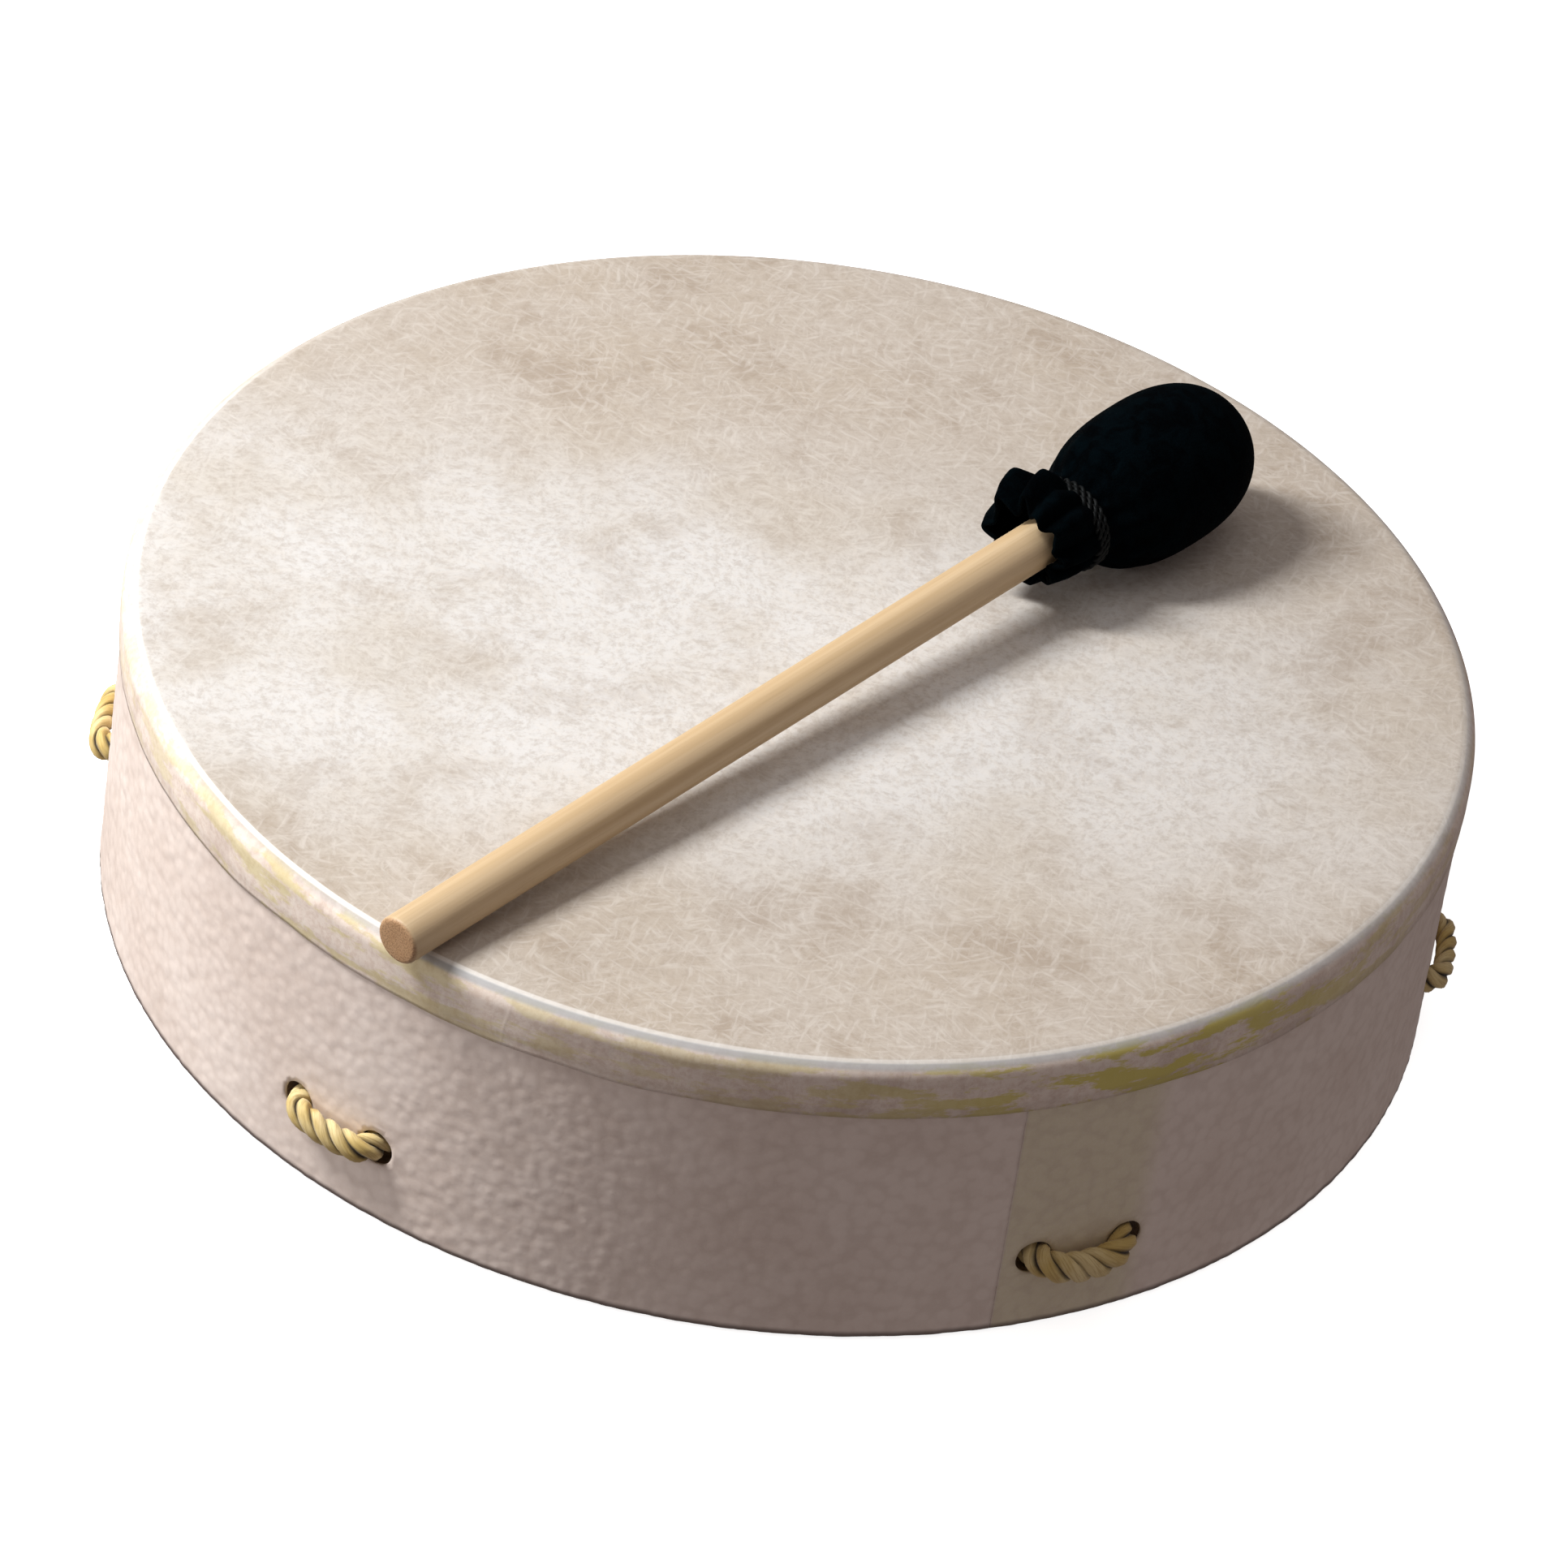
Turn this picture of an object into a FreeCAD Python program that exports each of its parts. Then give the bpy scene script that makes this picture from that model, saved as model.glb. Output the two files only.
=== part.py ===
"""Frame drum with a laced rope handle, and the beater that belongs to it.

Millimetres, +Z up.  The origin is the centre of the rim that the drum stands on.
The playing face is up and the open side is down.
"""
import FreeCAD, Part
import Sketcher
import math
import os
import re

Vector = FreeCAD.Vector
Z_AXIS = Vector(0, 0, 1)
Y_AXIS = Vector(0, 1, 0)

# ---------------------------------------------------------------- driving dimensions
SIZES = {
    # drum body: a 14 inch by 3 1/2 inch drum
    "drum_radius": 177.8,
    "drum_height": 88.9,
    "hoop_wall": 6.0,
    "hoop_edge_chamfer": 1.0,
    "covering_thickness": 1.0,
    "covering_height": 82.0,
    "adhesive_thickness": 0.3,
    "adhesive_inset": 1.5,
    "film_thickness": 0.5,
    "head_edge_radius": 7.0,
    "bearing_relief": 0.4,
    "collar_depth": 16.0,
    "seam_gap": 0.4,
    "seam_azimuth": -65.7,
    # rope holes and rope
    "pair_1_azimuth": -2.2,
    "pair_2_azimuth": 58.0,
    "pair_3_azimuth": 118.1,
    "pair_4_azimuth": 178.3,
    "pair_5_azimuth": 236.3,
    "pair_6_azimuth": 301.4,
    "hole_diameter": 10.0,
    "hole_offset": 13.0,
    "hole_height": 23.0,
    "rope_diameter": 7.6,
    "rope_clearance": 0.1,
    "rope_inner_end": 168.0,
    "rope_joint_gap": 0.35,
    "stitch_bend_radius": 5.0,
    # grip ring in the middle of the rope web
    "ring_radius": 38.0,
    "ring_thickness": 10.0,
    "binding_thickness": 1.3,
    "binding_angle": 34.0,
    "knot_length": 16.0,
    "knot_diameter": 22.0,
    "knot_distance": 32.0,
    "turn_lead": 11.0,
    # beater, measured along its axis from the bare end of the handle
    "handle_diameter": 12.7,
    "handle_length": 300.0,
    "handle_edge_radius": 1.2,
    "pad_radius": 21.0,
    "pad_centre": 291.0,
    "pad_start": 257.5,
    "pad_neck_radius": 14.5,
    "cloth_thickness": 1.6,
    "gather_radius": 11.0,
    "gather_start": 249.5,
    "gather_end": 256.3,
    "skirt_length": 21.5,
    "skirt_radius": 16.5,
    "skirt_thickness": 3.0,
    "tie_cord_diameter": 2.2,
    "tie_pitch": 1.9,
    "tie_turns": 3,
    "fit_clearance": 0.05,
    # where the beater lies on the playing face
    "beater_tip_x": -88.0,
    "beater_tip_y": -161.1,
    "beater_azimuth": 52.95,
    "rest_gap": 0.4,
}

document = FreeCAD.newDocument("FrameDrum")
sheet = document.addObject("Spreadsheet::Sheet", "Sizes")
for row, (alias, number) in enumerate(SIZES.items(), start=1):
    sheet.set(f"A{row}", alias)
    sheet.set(f"B{row}", str(number))
    sheet.setAlias(f"B{row}", alias)
document.recompute()


def bound(text):
    """The expression with each alias written as a cell of the sheet."""
    return re.sub(r"[a-z]\w+", lambda word: "Sizes." + word.group() if word.group() in SIZES
                  else word.group(), text)


def value(text):
    """The number that an expression of the sheet's aliases has now."""
    return float(sheet.evalExpression(bound(text)))


def bind(item, field, text):
    item.setExpression(field, bound(text))


# ---------------------------------------------------------------- sketch helpers
def plane_of(body, role):
    return next(plane for plane in body.Origin.OriginFeatures if plane.Role == role)


def sketch_on(body, role, name, offset=None):
    """A sketch on one of the body's own origin planes."""
    sketch = body.newObject("Sketcher::SketchObject", name)
    sketch.AttachmentSupport = [(plane_of(body, role), "")]
    sketch.MapMode = "FlatFace"
    if offset is not None:
        sketch.AttachmentOffset = offset
    return sketch


def pin_point(sketch, item, position, across, along):
    """Hold a point at a place given by two expressions."""
    for kind, axis, text in (("DistanceX", -2, across), ("DistanceY", -1, along)):
        if text == "0":
            sketch.addConstraint(Sketcher.Constraint("PointOnObject", item, position, axis))
            continue
        index = sketch.addConstraint(
            Sketcher.Constraint(kind, -1, 1, item, position, value(text)))
        bind(sketch, f"Constraints[{index}]", text)


def arc_centre(start, end, radius, turns_left):
    """The centre of the arc that goes from start to end, turning left or right."""
    chord = end - start
    middle = (start + end) * 0.5
    height = math.sqrt(radius ** 2 - (chord.Length / 2) ** 2)
    normal = Vector(-chord.y, chord.x, 0).normalize()
    return middle + normal * (height if turns_left else -height)


def draw_outline(sketch, points, arcs=None, closed=True):
    """Lines between points; arcs maps a point's number to (radius, turns_left) of the arc after it."""
    arcs = arcs or {}
    places = [Vector(value(across), value(along), 0) for across, along in points]
    ends = []
    count = len(points) if closed else len(points) - 1
    for number in range(count):
        start = places[number]
        end = places[(number + 1) % len(points)]
        if number not in arcs:
            item = sketch.addGeometry(Part.LineSegment(start, end), False)
            ends.append((item, 1, 2))
            continue
        radius_text, turns_left = arcs[number]
        radius = value(radius_text)
        centre = arc_centre(start, end, radius, turns_left)
        first, last = (start, end) if turns_left else (end, start)
        angles = [math.atan2(place.y - centre.y, place.x - centre.x) for place in (first, last)]
        if angles[1] < angles[0]:
            angles[1] += 2 * math.pi
        circle = Part.Circle(centre, Z_AXIS, radius)
        item = sketch.addGeometry(Part.ArcOfCircle(circle, angles[0], angles[1]), False)
        ends.append((item, 1, 2) if turns_left else (item, 2, 1))
        index = sketch.addConstraint(Sketcher.Constraint("Radius", item, radius))
        bind(sketch, f"Constraints[{index}]", radius_text)
    for number, (item, first, last) in enumerate(ends):
        pin_point(sketch, item, first, *points[number])
        if closed or number + 1 < count:
            follower = ends[(number + 1) % len(ends)]
            sketch.addConstraint(
                Sketcher.Constraint("Coincident", item, last, follower[0], follower[1]))
        else:
            pin_point(sketch, item, last, *points[number + 1])


def draw_circle(sketch, across, along, diameter):
    place = Vector(value(across), value(along), 0)
    item = sketch.addGeometry(Part.Circle(place, Z_AXIS, value(diameter) / 2), False)
    pin_point(sketch, item, 3, across, along)
    index = sketch.addConstraint(Sketcher.Constraint("Diameter", item, value(diameter)))
    bind(sketch, f"Constraints[{index}]", diameter)


# ---------------------------------------------------------------- body helpers
NODES = {}


def keep(item, label, placement=None):
    """Register a finished sub-part under the name that its file takes."""
    item.Label = label
    if placement is not None:
        item.Placement = placement
    NODES[label] = item
    return item


def lathe_body(label, points, arcs=None):
    """A body turned about Z from an outline in the XZ plane."""
    body = document.addObject("PartDesign::Body", label)
    sketch = sketch_on(body, "XZ_Plane", label + "_outline")
    draw_outline(sketch, points, arcs)
    turned = body.newObject("PartDesign::Revolution", label + "_turned")
    turned.Profile = sketch
    turned.ReferenceAxis = (sketch, ["V_Axis"])
    turned.Angle = 360
    body.Tip = turned
    return body


def drill_rope_holes(body):
    """A pair of parallel holes through the wall for every stitch of the rope."""
    before = body_volume(body)
    for pair, azimuth in PAIR_AZIMUTHS.items():
        label = f"{body.Label}_pair_{pair}"
        turned = FreeCAD.Placement(Vector(), FreeCAD.Rotation(Y_AXIS, azimuth - 90))
        sketch = sketch_on(body, "XZ_Plane", label + "_holes", turned)
        for side in ("-", ""):
            draw_circle(sketch, side + "hole_offset", "hole_height", "hole_diameter")
        pocket = body.newObject("PartDesign::Pocket", label)
        pocket.Profile = sketch
        pocket.Type = "Length"
        bind(pocket, "Length", "drum_radius + hoop_wall")
        body.Tip = pocket
    removed = before - body_volume(body)
    print(f"{body.Label}: holes removed {removed:.0f} mm3")


def body_volume(body):
    document.recompute()
    return body.Shape.Volume


def turned_about_z(degrees):
    return FreeCAD.Placement(Vector(), FreeCAD.Rotation(Z_AXIS, degrees))


def straight_rod(start, end, radius):
    """A solid rod between two points."""
    run = end - start
    return Part.makeCylinder(radius, run.Length, start, run)


PAIR_AZIMUTHS = {pair: value(f"pair_{pair}_azimuth") for pair in range(1, 7)}


def gap_after(pair):
    """The angle from the middle of a pair of holes to the middle of the next."""
    return (PAIR_AZIMUTHS[pair % 6 + 1] - PAIR_AZIMUTHS[pair]) % 360


# ---------------------------------------------------------------- shell of the drum
COVERING_RADIUS = "drum_radius - film_thickness - adhesive_thickness"
HOOP_RADIUS = f"{COVERING_RADIUS} - covering_thickness"
EDGE_CENTRE_RADIUS = "drum_radius - head_edge_radius"
HEAD_UNDERSIDE = "drum_height - film_thickness"
EDGE_INNER_RADIUS = "head_edge_radius - film_thickness"


def shell_hoop():
    """The bent hoop: eased foot edges, and an outer top edge rounded to bear the head.

    The head touches the hoop along the top of the rounding only, and is free of it outside.
    """
    inner = f"{HOOP_RADIUS} - hoop_wall"
    bearing_radius = f"{EDGE_INNER_RADIUS} - bearing_relief"
    shoulder = (f"drum_height - head_edge_radius + bearing_relief + sqrt(({bearing_radius})^2 - "
                f"({HOOP_RADIUS} - ({EDGE_CENTRE_RADIUS}))^2)")
    points = [
        (f"{inner} + hoop_edge_chamfer", "0"),
        (f"{HOOP_RADIUS} - hoop_edge_chamfer", "0"),
        (HOOP_RADIUS, "hoop_edge_chamfer"),
        (HOOP_RADIUS, shoulder),
        (EDGE_CENTRE_RADIUS, HEAD_UNDERSIDE),
        (inner, f"{HEAD_UNDERSIDE} - hoop_edge_chamfer"),
        (inner, "hoop_edge_chamfer"),
    ]
    body = lathe_body("shell_hoop", points, {3: (bearing_radius, True)})
    drill_rope_holes(body)
    keep(body, "shell_hoop")


def shell_covering():
    """The textured sheet glued round the hoop, its two ends meeting in an upright butt seam."""
    points = [
        (HOOP_RADIUS, "hoop_edge_chamfer"),
        (COVERING_RADIUS, "hoop_edge_chamfer"),
        (COVERING_RADIUS, "covering_height"),
        (HOOP_RADIUS, "covering_height"),
    ]
    body = lathe_body("shell_covering", points)
    drill_rope_holes(body)
    across_seam = FreeCAD.Placement(Vector(), FreeCAD.Rotation(Z_AXIS, value("seam_azimuth")))
    sketch = sketch_on(body, "XY_Plane", "seam_outline", across_seam)
    inner = f"{HOOP_RADIUS} - hoop_wall"
    outer = "drum_radius + hoop_wall"
    draw_outline(sketch, [(inner, "-seam_gap / 2"), (outer, "-seam_gap / 2"),
                          (outer, "seam_gap / 2"), (inner, "seam_gap / 2")])
    seam = body.newObject("PartDesign::Pocket", "seam")
    seam.Profile = sketch
    seam.Type = "Length"
    bind(seam, "Length", "drum_height")
    seam.Reversed = True
    body.Tip = seam
    keep(body, "shell_covering")


def collar_adhesive():
    """The thin band of glue that holds the head's collar on the covering."""
    lower = "drum_height - collar_depth + adhesive_inset"
    upper = "drum_height - head_edge_radius"
    outer = "drum_radius - film_thickness"
    points = [(COVERING_RADIUS, lower), (outer, lower), (outer, upper), (COVERING_RADIUS, upper)]
    keep(lathe_body("collar_adhesive", points), "collar_adhesive")


def drumhead():
    """One moulded film: flat playing face, rounded edge and collar."""
    edge_start = "drum_height - head_edge_radius"
    collar_end = "drum_height - collar_depth"
    inside = "drum_radius - film_thickness"
    points = [
        ("0", HEAD_UNDERSIDE),
        (EDGE_CENTRE_RADIUS, HEAD_UNDERSIDE),
        (inside, edge_start),
        (inside, collar_end),
        ("drum_radius", collar_end),
        ("drum_radius", edge_start),
        (EDGE_CENTRE_RADIUS, "drum_height"),
        ("0", "drum_height"),
    ]
    arcs = {1: (EDGE_INNER_RADIUS, False), 5: ("head_edge_radius", True)}
    keep(lathe_body("drumhead", points, arcs), "drumhead")


# ---------------------------------------------------------------- rope handle
STITCH_RUN_RADIUS = f"{COVERING_RADIUS} + rope_clearance + rope_diameter / 2"


def rope_stitch(number):
    """The length of rope that crosses the outside between two holes, with its two ends in them."""
    label = f"rope_stitch_{number}"
    body = document.addObject("PartDesign::Body", label)
    at_hole_height = FreeCAD.Placement(Vector(0, 0, value("hole_height")), FreeCAD.Rotation())
    route = sketch_on(body, "XY_Plane", label + "_route", at_hole_height)
    bend = "stitch_bend_radius"
    points = [
        ("hole_offset", "rope_inner_end"),
        ("hole_offset", f"{STITCH_RUN_RADIUS} - {bend}"),
        (f"hole_offset - {bend}", STITCH_RUN_RADIUS),
        (f"-hole_offset + {bend}", STITCH_RUN_RADIUS),
        ("-hole_offset", f"{STITCH_RUN_RADIUS} - {bend}"),
        ("-hole_offset", "rope_inner_end"),
    ]
    draw_outline(route, points, {1: (bend, True), 3: (bend, True)}, closed=False)
    at_rope_end = FreeCAD.Placement(Vector(0, 0, -value("rope_inner_end")), FreeCAD.Rotation())
    section = sketch_on(body, "XZ_Plane", label + "_section", at_rope_end)
    draw_circle(section, "hole_offset", "hole_height", "rope_diameter")
    pipe = body.newObject("PartDesign::AdditivePipe", label + "_rope")
    pipe.Profile = section
    pipe.Spine = (route, [f"Edge{edge}" for edge in range(1, len(points))])
    body.Tip = pipe
    keep(body, label, turned_about_z(PAIR_AZIMUTHS[number] - 90))


def tangent_corner(before, corner, after, radius):
    """The arc of the given radius that rounds a corner of the route."""
    back = (before - corner).normalize()
    ahead = (after - corner).normalize()
    half_angle = back.getAngle(ahead) / 2
    reach = radius / math.tan(half_angle)
    bisector = (back + ahead).normalize()
    middle = corner + bisector * (radius / math.sin(half_angle) - radius)
    return corner + back * reach, middle, corner + ahead * reach


def swept_rope(route, radii, rope_radius):
    """A rope along straight runs joined by tangent arcs, its volume compared with its length."""
    edges = []
    cursor = route[0]
    for number, radius in enumerate(radii, start=1):
        start, middle, end = tangent_corner(cursor, route[number], route[number + 1], radius)
        if (start - cursor).Length > 1e-6:
            edges.append(Part.LineSegment(cursor, start).toShape())
        edges.append(Part.Arc(start, middle, end).toShape())
        cursor = end
    edges.append(Part.LineSegment(cursor, route[-1]).toShape())
    path = Part.Wire(edges)
    section = Part.Wire([Part.makeCircle(rope_radius, route[0], route[1] - route[0])])
    solid = path.makePipeShell([section], True, True)
    expected = math.pi * rope_radius ** 2 * path.Length
    print(f"rope bend radii {[round(radius, 1) for radius in radii]}, "
          f"volume / (section x length) {solid.Volume / expected:.4f}")
    return solid


def loop_route(number):
    """The corners of one rope loop: over the grip ring, down inside it and out below.

    The loop is drawn for a ring crossing at azimuth 0; its two strands run to the nearest
    hole of the pair on each side.
    """
    height = value("hole_height")
    ring = value("ring_radius")
    reach = value("ring_thickness / 2 + rope_clearance + rope_diameter / 2")
    hole_angle = math.asin(value("hole_offset / rope_inner_end"))
    end_angle = math.radians(gap_after(number)) / 2 - hole_angle
    end_radius = math.hypot(value("rope_inner_end"), value("hole_offset"))
    mouths = [Vector(end_radius * math.cos(end_angle), side * end_radius * math.sin(end_angle),
                     height) for side in (1, -1)]
    side_step = value("rope_diameter") * 0.62
    upper_out = Vector(ring + 1, side_step, height + reach)
    upper_in = Vector(ring - reach, side_step * 0.4, height + reach)
    lower_in = Vector(ring - reach, -side_step * 0.4, height - reach)
    lower_out = Vector(ring + 1, -side_step, height - reach)
    return mouths, (upper_out, upper_in, lower_in, lower_out)


def rope_loop(number):
    """One loop of the lacing: a strand in, a turn round the grip ring and a strand out."""
    rope_radius = value("rope_diameter / 2")
    reach = value("ring_thickness / 2 + rope_clearance + rope_diameter / 2")
    mouths, corners = loop_route(number)
    lead = value("turn_lead")
    entry = corners[0] + (mouths[0] - corners[0]).normalize() * lead
    leave = corners[3] + (mouths[1] - corners[3]).normalize() * lead
    turn_route = [entry, *corners, leave]
    radii = [reach * 0.9, reach * 0.88, reach * 0.88, reach * 0.9]
    turn = swept_rope(turn_route, radii, rope_radius)
    gap = value("rope_joint_gap")
    first = mouths[0] + (entry - mouths[0]).normalize() * gap
    last = mouths[1] + (leave - mouths[1]).normalize() * gap
    strands = [straight_rod(first, entry, rope_radius), straight_rod(leave, last, rope_radius)]
    loop = document.addObject("Part::Feature", f"rope_loop_{number}")
    loop.Shape = Part.makeCompound([turn, *strands])
    azimuth = PAIR_AZIMUTHS[number] + gap_after(number) / 2
    keep(loop, f"rope_loop_{number}", turned_about_z(azimuth))


def grip_ring():
    """The rope grommet that the hand holds."""
    ring = document.addObject("Part::Torus", "grip_ring")
    bind(ring, "Radius1", "ring_radius")
    bind(ring, "Radius2", "ring_thickness / 2")
    height = FreeCAD.Placement(Vector(0, 0, value("hole_height")), FreeCAD.Rotation())
    keep(ring, "grip_ring", height)


def ring_binding():
    """Twine wound over the place where the grommet's ends are laid in."""
    sleeve = document.addObject("Part::Torus", "binding_outside")
    core = document.addObject("Part::Torus", "binding_inside")
    for torus, radius in ((sleeve, "ring_thickness / 2 + binding_thickness"),
                          (core, "ring_thickness / 2 + fit_clearance")):
        bind(torus, "Radius1", "ring_radius")
        bind(torus, "Radius2", radius)
        bind(torus, "Angle3", "binding_angle")
    binding = document.addObject("Part::Cut", "ring_binding")
    binding.Base = sleeve
    binding.Tool = core
    turn = value("pair_4_azimuth - binding_angle / 2")
    place = FreeCAD.Placement(Vector(0, 0, value("hole_height")), FreeCAD.Rotation(Z_AXIS, turn))
    keep(binding, "ring_binding", place)


def rope_end_knot(loop_number):
    """The knot that the rope's two ends make round a strand close to the grip ring."""
    mouths, corners = loop_route(loop_number)
    along = (mouths[1] - corners[3]).normalize()
    centre = corners[3] + along * value("knot_distance")
    half = value("knot_length / 2")
    bulge = value("knot_diameter / 2")
    bore = value("rope_diameter / 2 + fit_clearance")
    end_radius = bulge * 0.62
    outline = [Vector(bore, 0, -half), Vector(end_radius, 0, -half), Vector(bulge, 0, 0),
               Vector(end_radius, 0, half), Vector(bore, 0, half)]
    edges = [Part.LineSegment(outline[0], outline[1]).toShape(),
             Part.Arc(outline[1], outline[2], outline[3]).toShape(),
             Part.LineSegment(outline[3], outline[4]).toShape(),
             Part.LineSegment(outline[4], outline[0]).toShape()]
    solid = Part.Face(Part.Wire(edges)).revolve(Vector(), Z_AXIS, 360)
    solid.Placement = FreeCAD.Placement(centre, FreeCAD.Rotation(Z_AXIS, along))
    knot = document.addObject("Part::Feature", "rope_end_knot")
    knot.Shape = Part.makeCompound([solid])
    azimuth = PAIR_AZIMUTHS[loop_number] + gap_after(loop_number) / 2
    keep(knot, "rope_end_knot", turned_about_z(azimuth))


# ---------------------------------------------------------------- beater
def beater_placement():
    """The beater rests on the playing face: its pad and, near the edge, its handle touch it."""
    azimuth = math.radians(value("beater_azimuth"))
    tip = Vector(value("beater_tip_x"), value("beater_tip_y"), 0)
    along = Vector(math.cos(azimuth), math.sin(azimuth), 0)
    inward = -tip.dot(along)
    off_centre = tip.cross(along).Length
    contact = inward - math.sqrt(value(EDGE_CENTRE_RADIUS) ** 2 - off_centre ** 2)
    rise = value("pad_radius - handle_diameter / 2")
    tilt = math.asin(rise / (value("pad_centre") - contact))
    face = value("drum_height + rest_gap")
    tip.z = face + value("handle_diameter / 2") / math.cos(tilt) - contact * math.sin(tilt)
    print(f"beater: rests at {contact:.1f} mm from its tip, tilt {math.degrees(tilt):.2f} degrees, "
          f"tip height {tip.z:.2f} mm")
    heading = FreeCAD.Rotation(Z_AXIS, value("beater_azimuth"))
    lean = FreeCAD.Rotation(Y_AXIS, 90 - math.degrees(tilt))
    return FreeCAD.Placement(tip, heading * lean)


CHEEK_RADIUS = ("((pad_centre - pad_start)^2 + (pad_radius - pad_neck_radius)^2) / "
                "(2 * (pad_radius - pad_neck_radius))")
HANDLE_RADIUS = "handle_diameter / 2"
SOCKET_RADIUS = "handle_diameter / 2 + fit_clearance"


def beater_handle(place):
    """A plain dowel with a rounded end."""
    edge = "handle_edge_radius"
    points = [
        ("0", "0"),
        (f"{HANDLE_RADIUS} - {edge}", "0"),
        (HANDLE_RADIUS, edge),
        (HANDLE_RADIUS, "handle_length"),
        ("0", "handle_length"),
    ]
    keep(lathe_body("beater_handle", points, {1: (edge, True)}), "beater_handle", place)


def beater_core(place):
    """The soft padding on the end of the handle, under the cloth."""
    lining = "cloth_thickness + fit_clearance"
    start = "pad_start + cloth_thickness"
    cheek = f"{CHEEK_RADIUS} - ({lining})"
    start_radius = (f"sqrt(({cheek})^2 - (pad_centre - pad_start - cloth_thickness)^2) - "
                    f"({CHEEK_RADIUS} - pad_radius)")
    points = [
        (SOCKET_RADIUS, start),
        (start_radius, start),
        (f"pad_radius - ({lining})", "pad_centre"),
        ("0", f"pad_centre + pad_radius - ({lining})"),
        ("0", "handle_length + fit_clearance"),
        (SOCKET_RADIUS, "handle_length + fit_clearance"),
    ]
    arcs = {1: (cheek, True), 2: (f"pad_radius - ({lining})", True)}
    keep(lathe_body("beater_core", points, arcs), "beater_core", place)


def beater_cover(place):
    """Fleece drawn over the padding, gathered at the neck, its free hem a flared skirt."""
    cheek_inside = f"{CHEEK_RADIUS} - cloth_thickness"
    start = "pad_start + cloth_thickness - fit_clearance"
    start_radius = (f"sqrt(({cheek_inside})^2 - (pad_centre - ({start}))^2) - "
                    f"({CHEEK_RADIUS} - pad_radius)")
    hem = "gather_start - skirt_length"
    points = [
        ("skirt_radius - skirt_thickness", hem),
        ("skirt_radius", hem),
        ("gather_radius", "gather_start"),
        ("gather_radius", "gather_end"),
        ("pad_neck_radius", "pad_start"),
        ("pad_radius", "pad_centre"),
        ("0", "pad_centre + pad_radius"),
        ("0", "pad_centre + pad_radius - cloth_thickness"),
        ("pad_radius - cloth_thickness", "pad_centre"),
        (start_radius, start),
        (SOCKET_RADIUS, start),
        (SOCKET_RADIUS, "gather_start"),
    ]
    arcs = {4: (CHEEK_RADIUS, True), 5: ("pad_radius", True),
            7: ("pad_radius - cloth_thickness", False), 8: (cheek_inside, False)}
    keep(lathe_body("beater_cover", points, arcs), "beater_cover", place)


def beater_tie(place):
    """Cord wound round the gathered cloth."""
    turns = []
    count = int(value("tie_turns"))
    middle = value("(gather_start + gather_end) / 2")
    for number in range(count):
        turn = document.addObject("Part::Torus", f"tie_turn_{number + 1}")
        bind(turn, "Radius1", "gather_radius + tie_cord_diameter / 2 + fit_clearance")
        bind(turn, "Radius2", "tie_cord_diameter / 2")
        offset = (number - (count - 1) / 2) * value("tie_pitch")
        turn.Placement = FreeCAD.Placement(Vector(0, 0, middle + offset), FreeCAD.Rotation())
        turns.append(turn)
    tie = document.addObject("Part::MultiFuse", "beater_tie")
    tie.Shapes = turns
    keep(tie, "beater_tie", place)


# ---------------------------------------------------------------- build, check and write
shell_hoop()
shell_covering()
collar_adhesive()
drumhead()
for pair in PAIR_AZIMUTHS:
    rope_stitch(pair)
    rope_loop(pair)
grip_ring()
ring_binding()
rope_end_knot(loop_number=3)
on_the_head = beater_placement()
beater_handle(on_the_head)
beater_core(on_the_head)
beater_cover(on_the_head)
beater_tie(on_the_head)
document.recompute()

for item in document.Objects:
    if "Invalid" in item.State or "Error" in item.State:
        raise RuntimeError(f"{item.Label} failed: {item.State}")

os.makedirs("parts", exist_ok=True)
for name, item in NODES.items():
    shape = item.Shape
    if shape.isNull() or not shape.isValid() or not shape.Solids:
        raise RuntimeError(f"{name} has no valid solid")
    shape.exportStep(f"parts/{name}.step")
    print(f"{name}: {len(shape.Solids)} solid(s), {shape.Volume / 1000:.2f} cm3")
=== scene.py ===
"""Looks of the frame drum and its beater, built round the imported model.  Metres, +Z up."""
import math

import bpy
import numpy as np
from mathutils import Matrix, Quaternion, Vector, noise


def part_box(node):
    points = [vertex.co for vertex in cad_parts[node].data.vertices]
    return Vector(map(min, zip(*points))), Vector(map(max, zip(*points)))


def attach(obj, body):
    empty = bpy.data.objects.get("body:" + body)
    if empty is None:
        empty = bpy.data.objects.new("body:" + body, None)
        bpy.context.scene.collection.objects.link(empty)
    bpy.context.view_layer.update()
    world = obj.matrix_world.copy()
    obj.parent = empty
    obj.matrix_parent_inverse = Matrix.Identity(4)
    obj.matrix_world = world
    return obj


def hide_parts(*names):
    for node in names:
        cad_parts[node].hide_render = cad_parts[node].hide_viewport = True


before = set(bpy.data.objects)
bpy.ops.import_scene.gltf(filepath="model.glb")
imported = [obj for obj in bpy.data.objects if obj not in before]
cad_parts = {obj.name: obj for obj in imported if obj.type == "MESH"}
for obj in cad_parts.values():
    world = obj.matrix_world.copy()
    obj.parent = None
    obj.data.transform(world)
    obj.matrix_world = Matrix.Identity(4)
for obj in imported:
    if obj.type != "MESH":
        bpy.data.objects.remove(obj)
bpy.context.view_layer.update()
scene = bpy.context.scene

MM = 0.001

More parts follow.
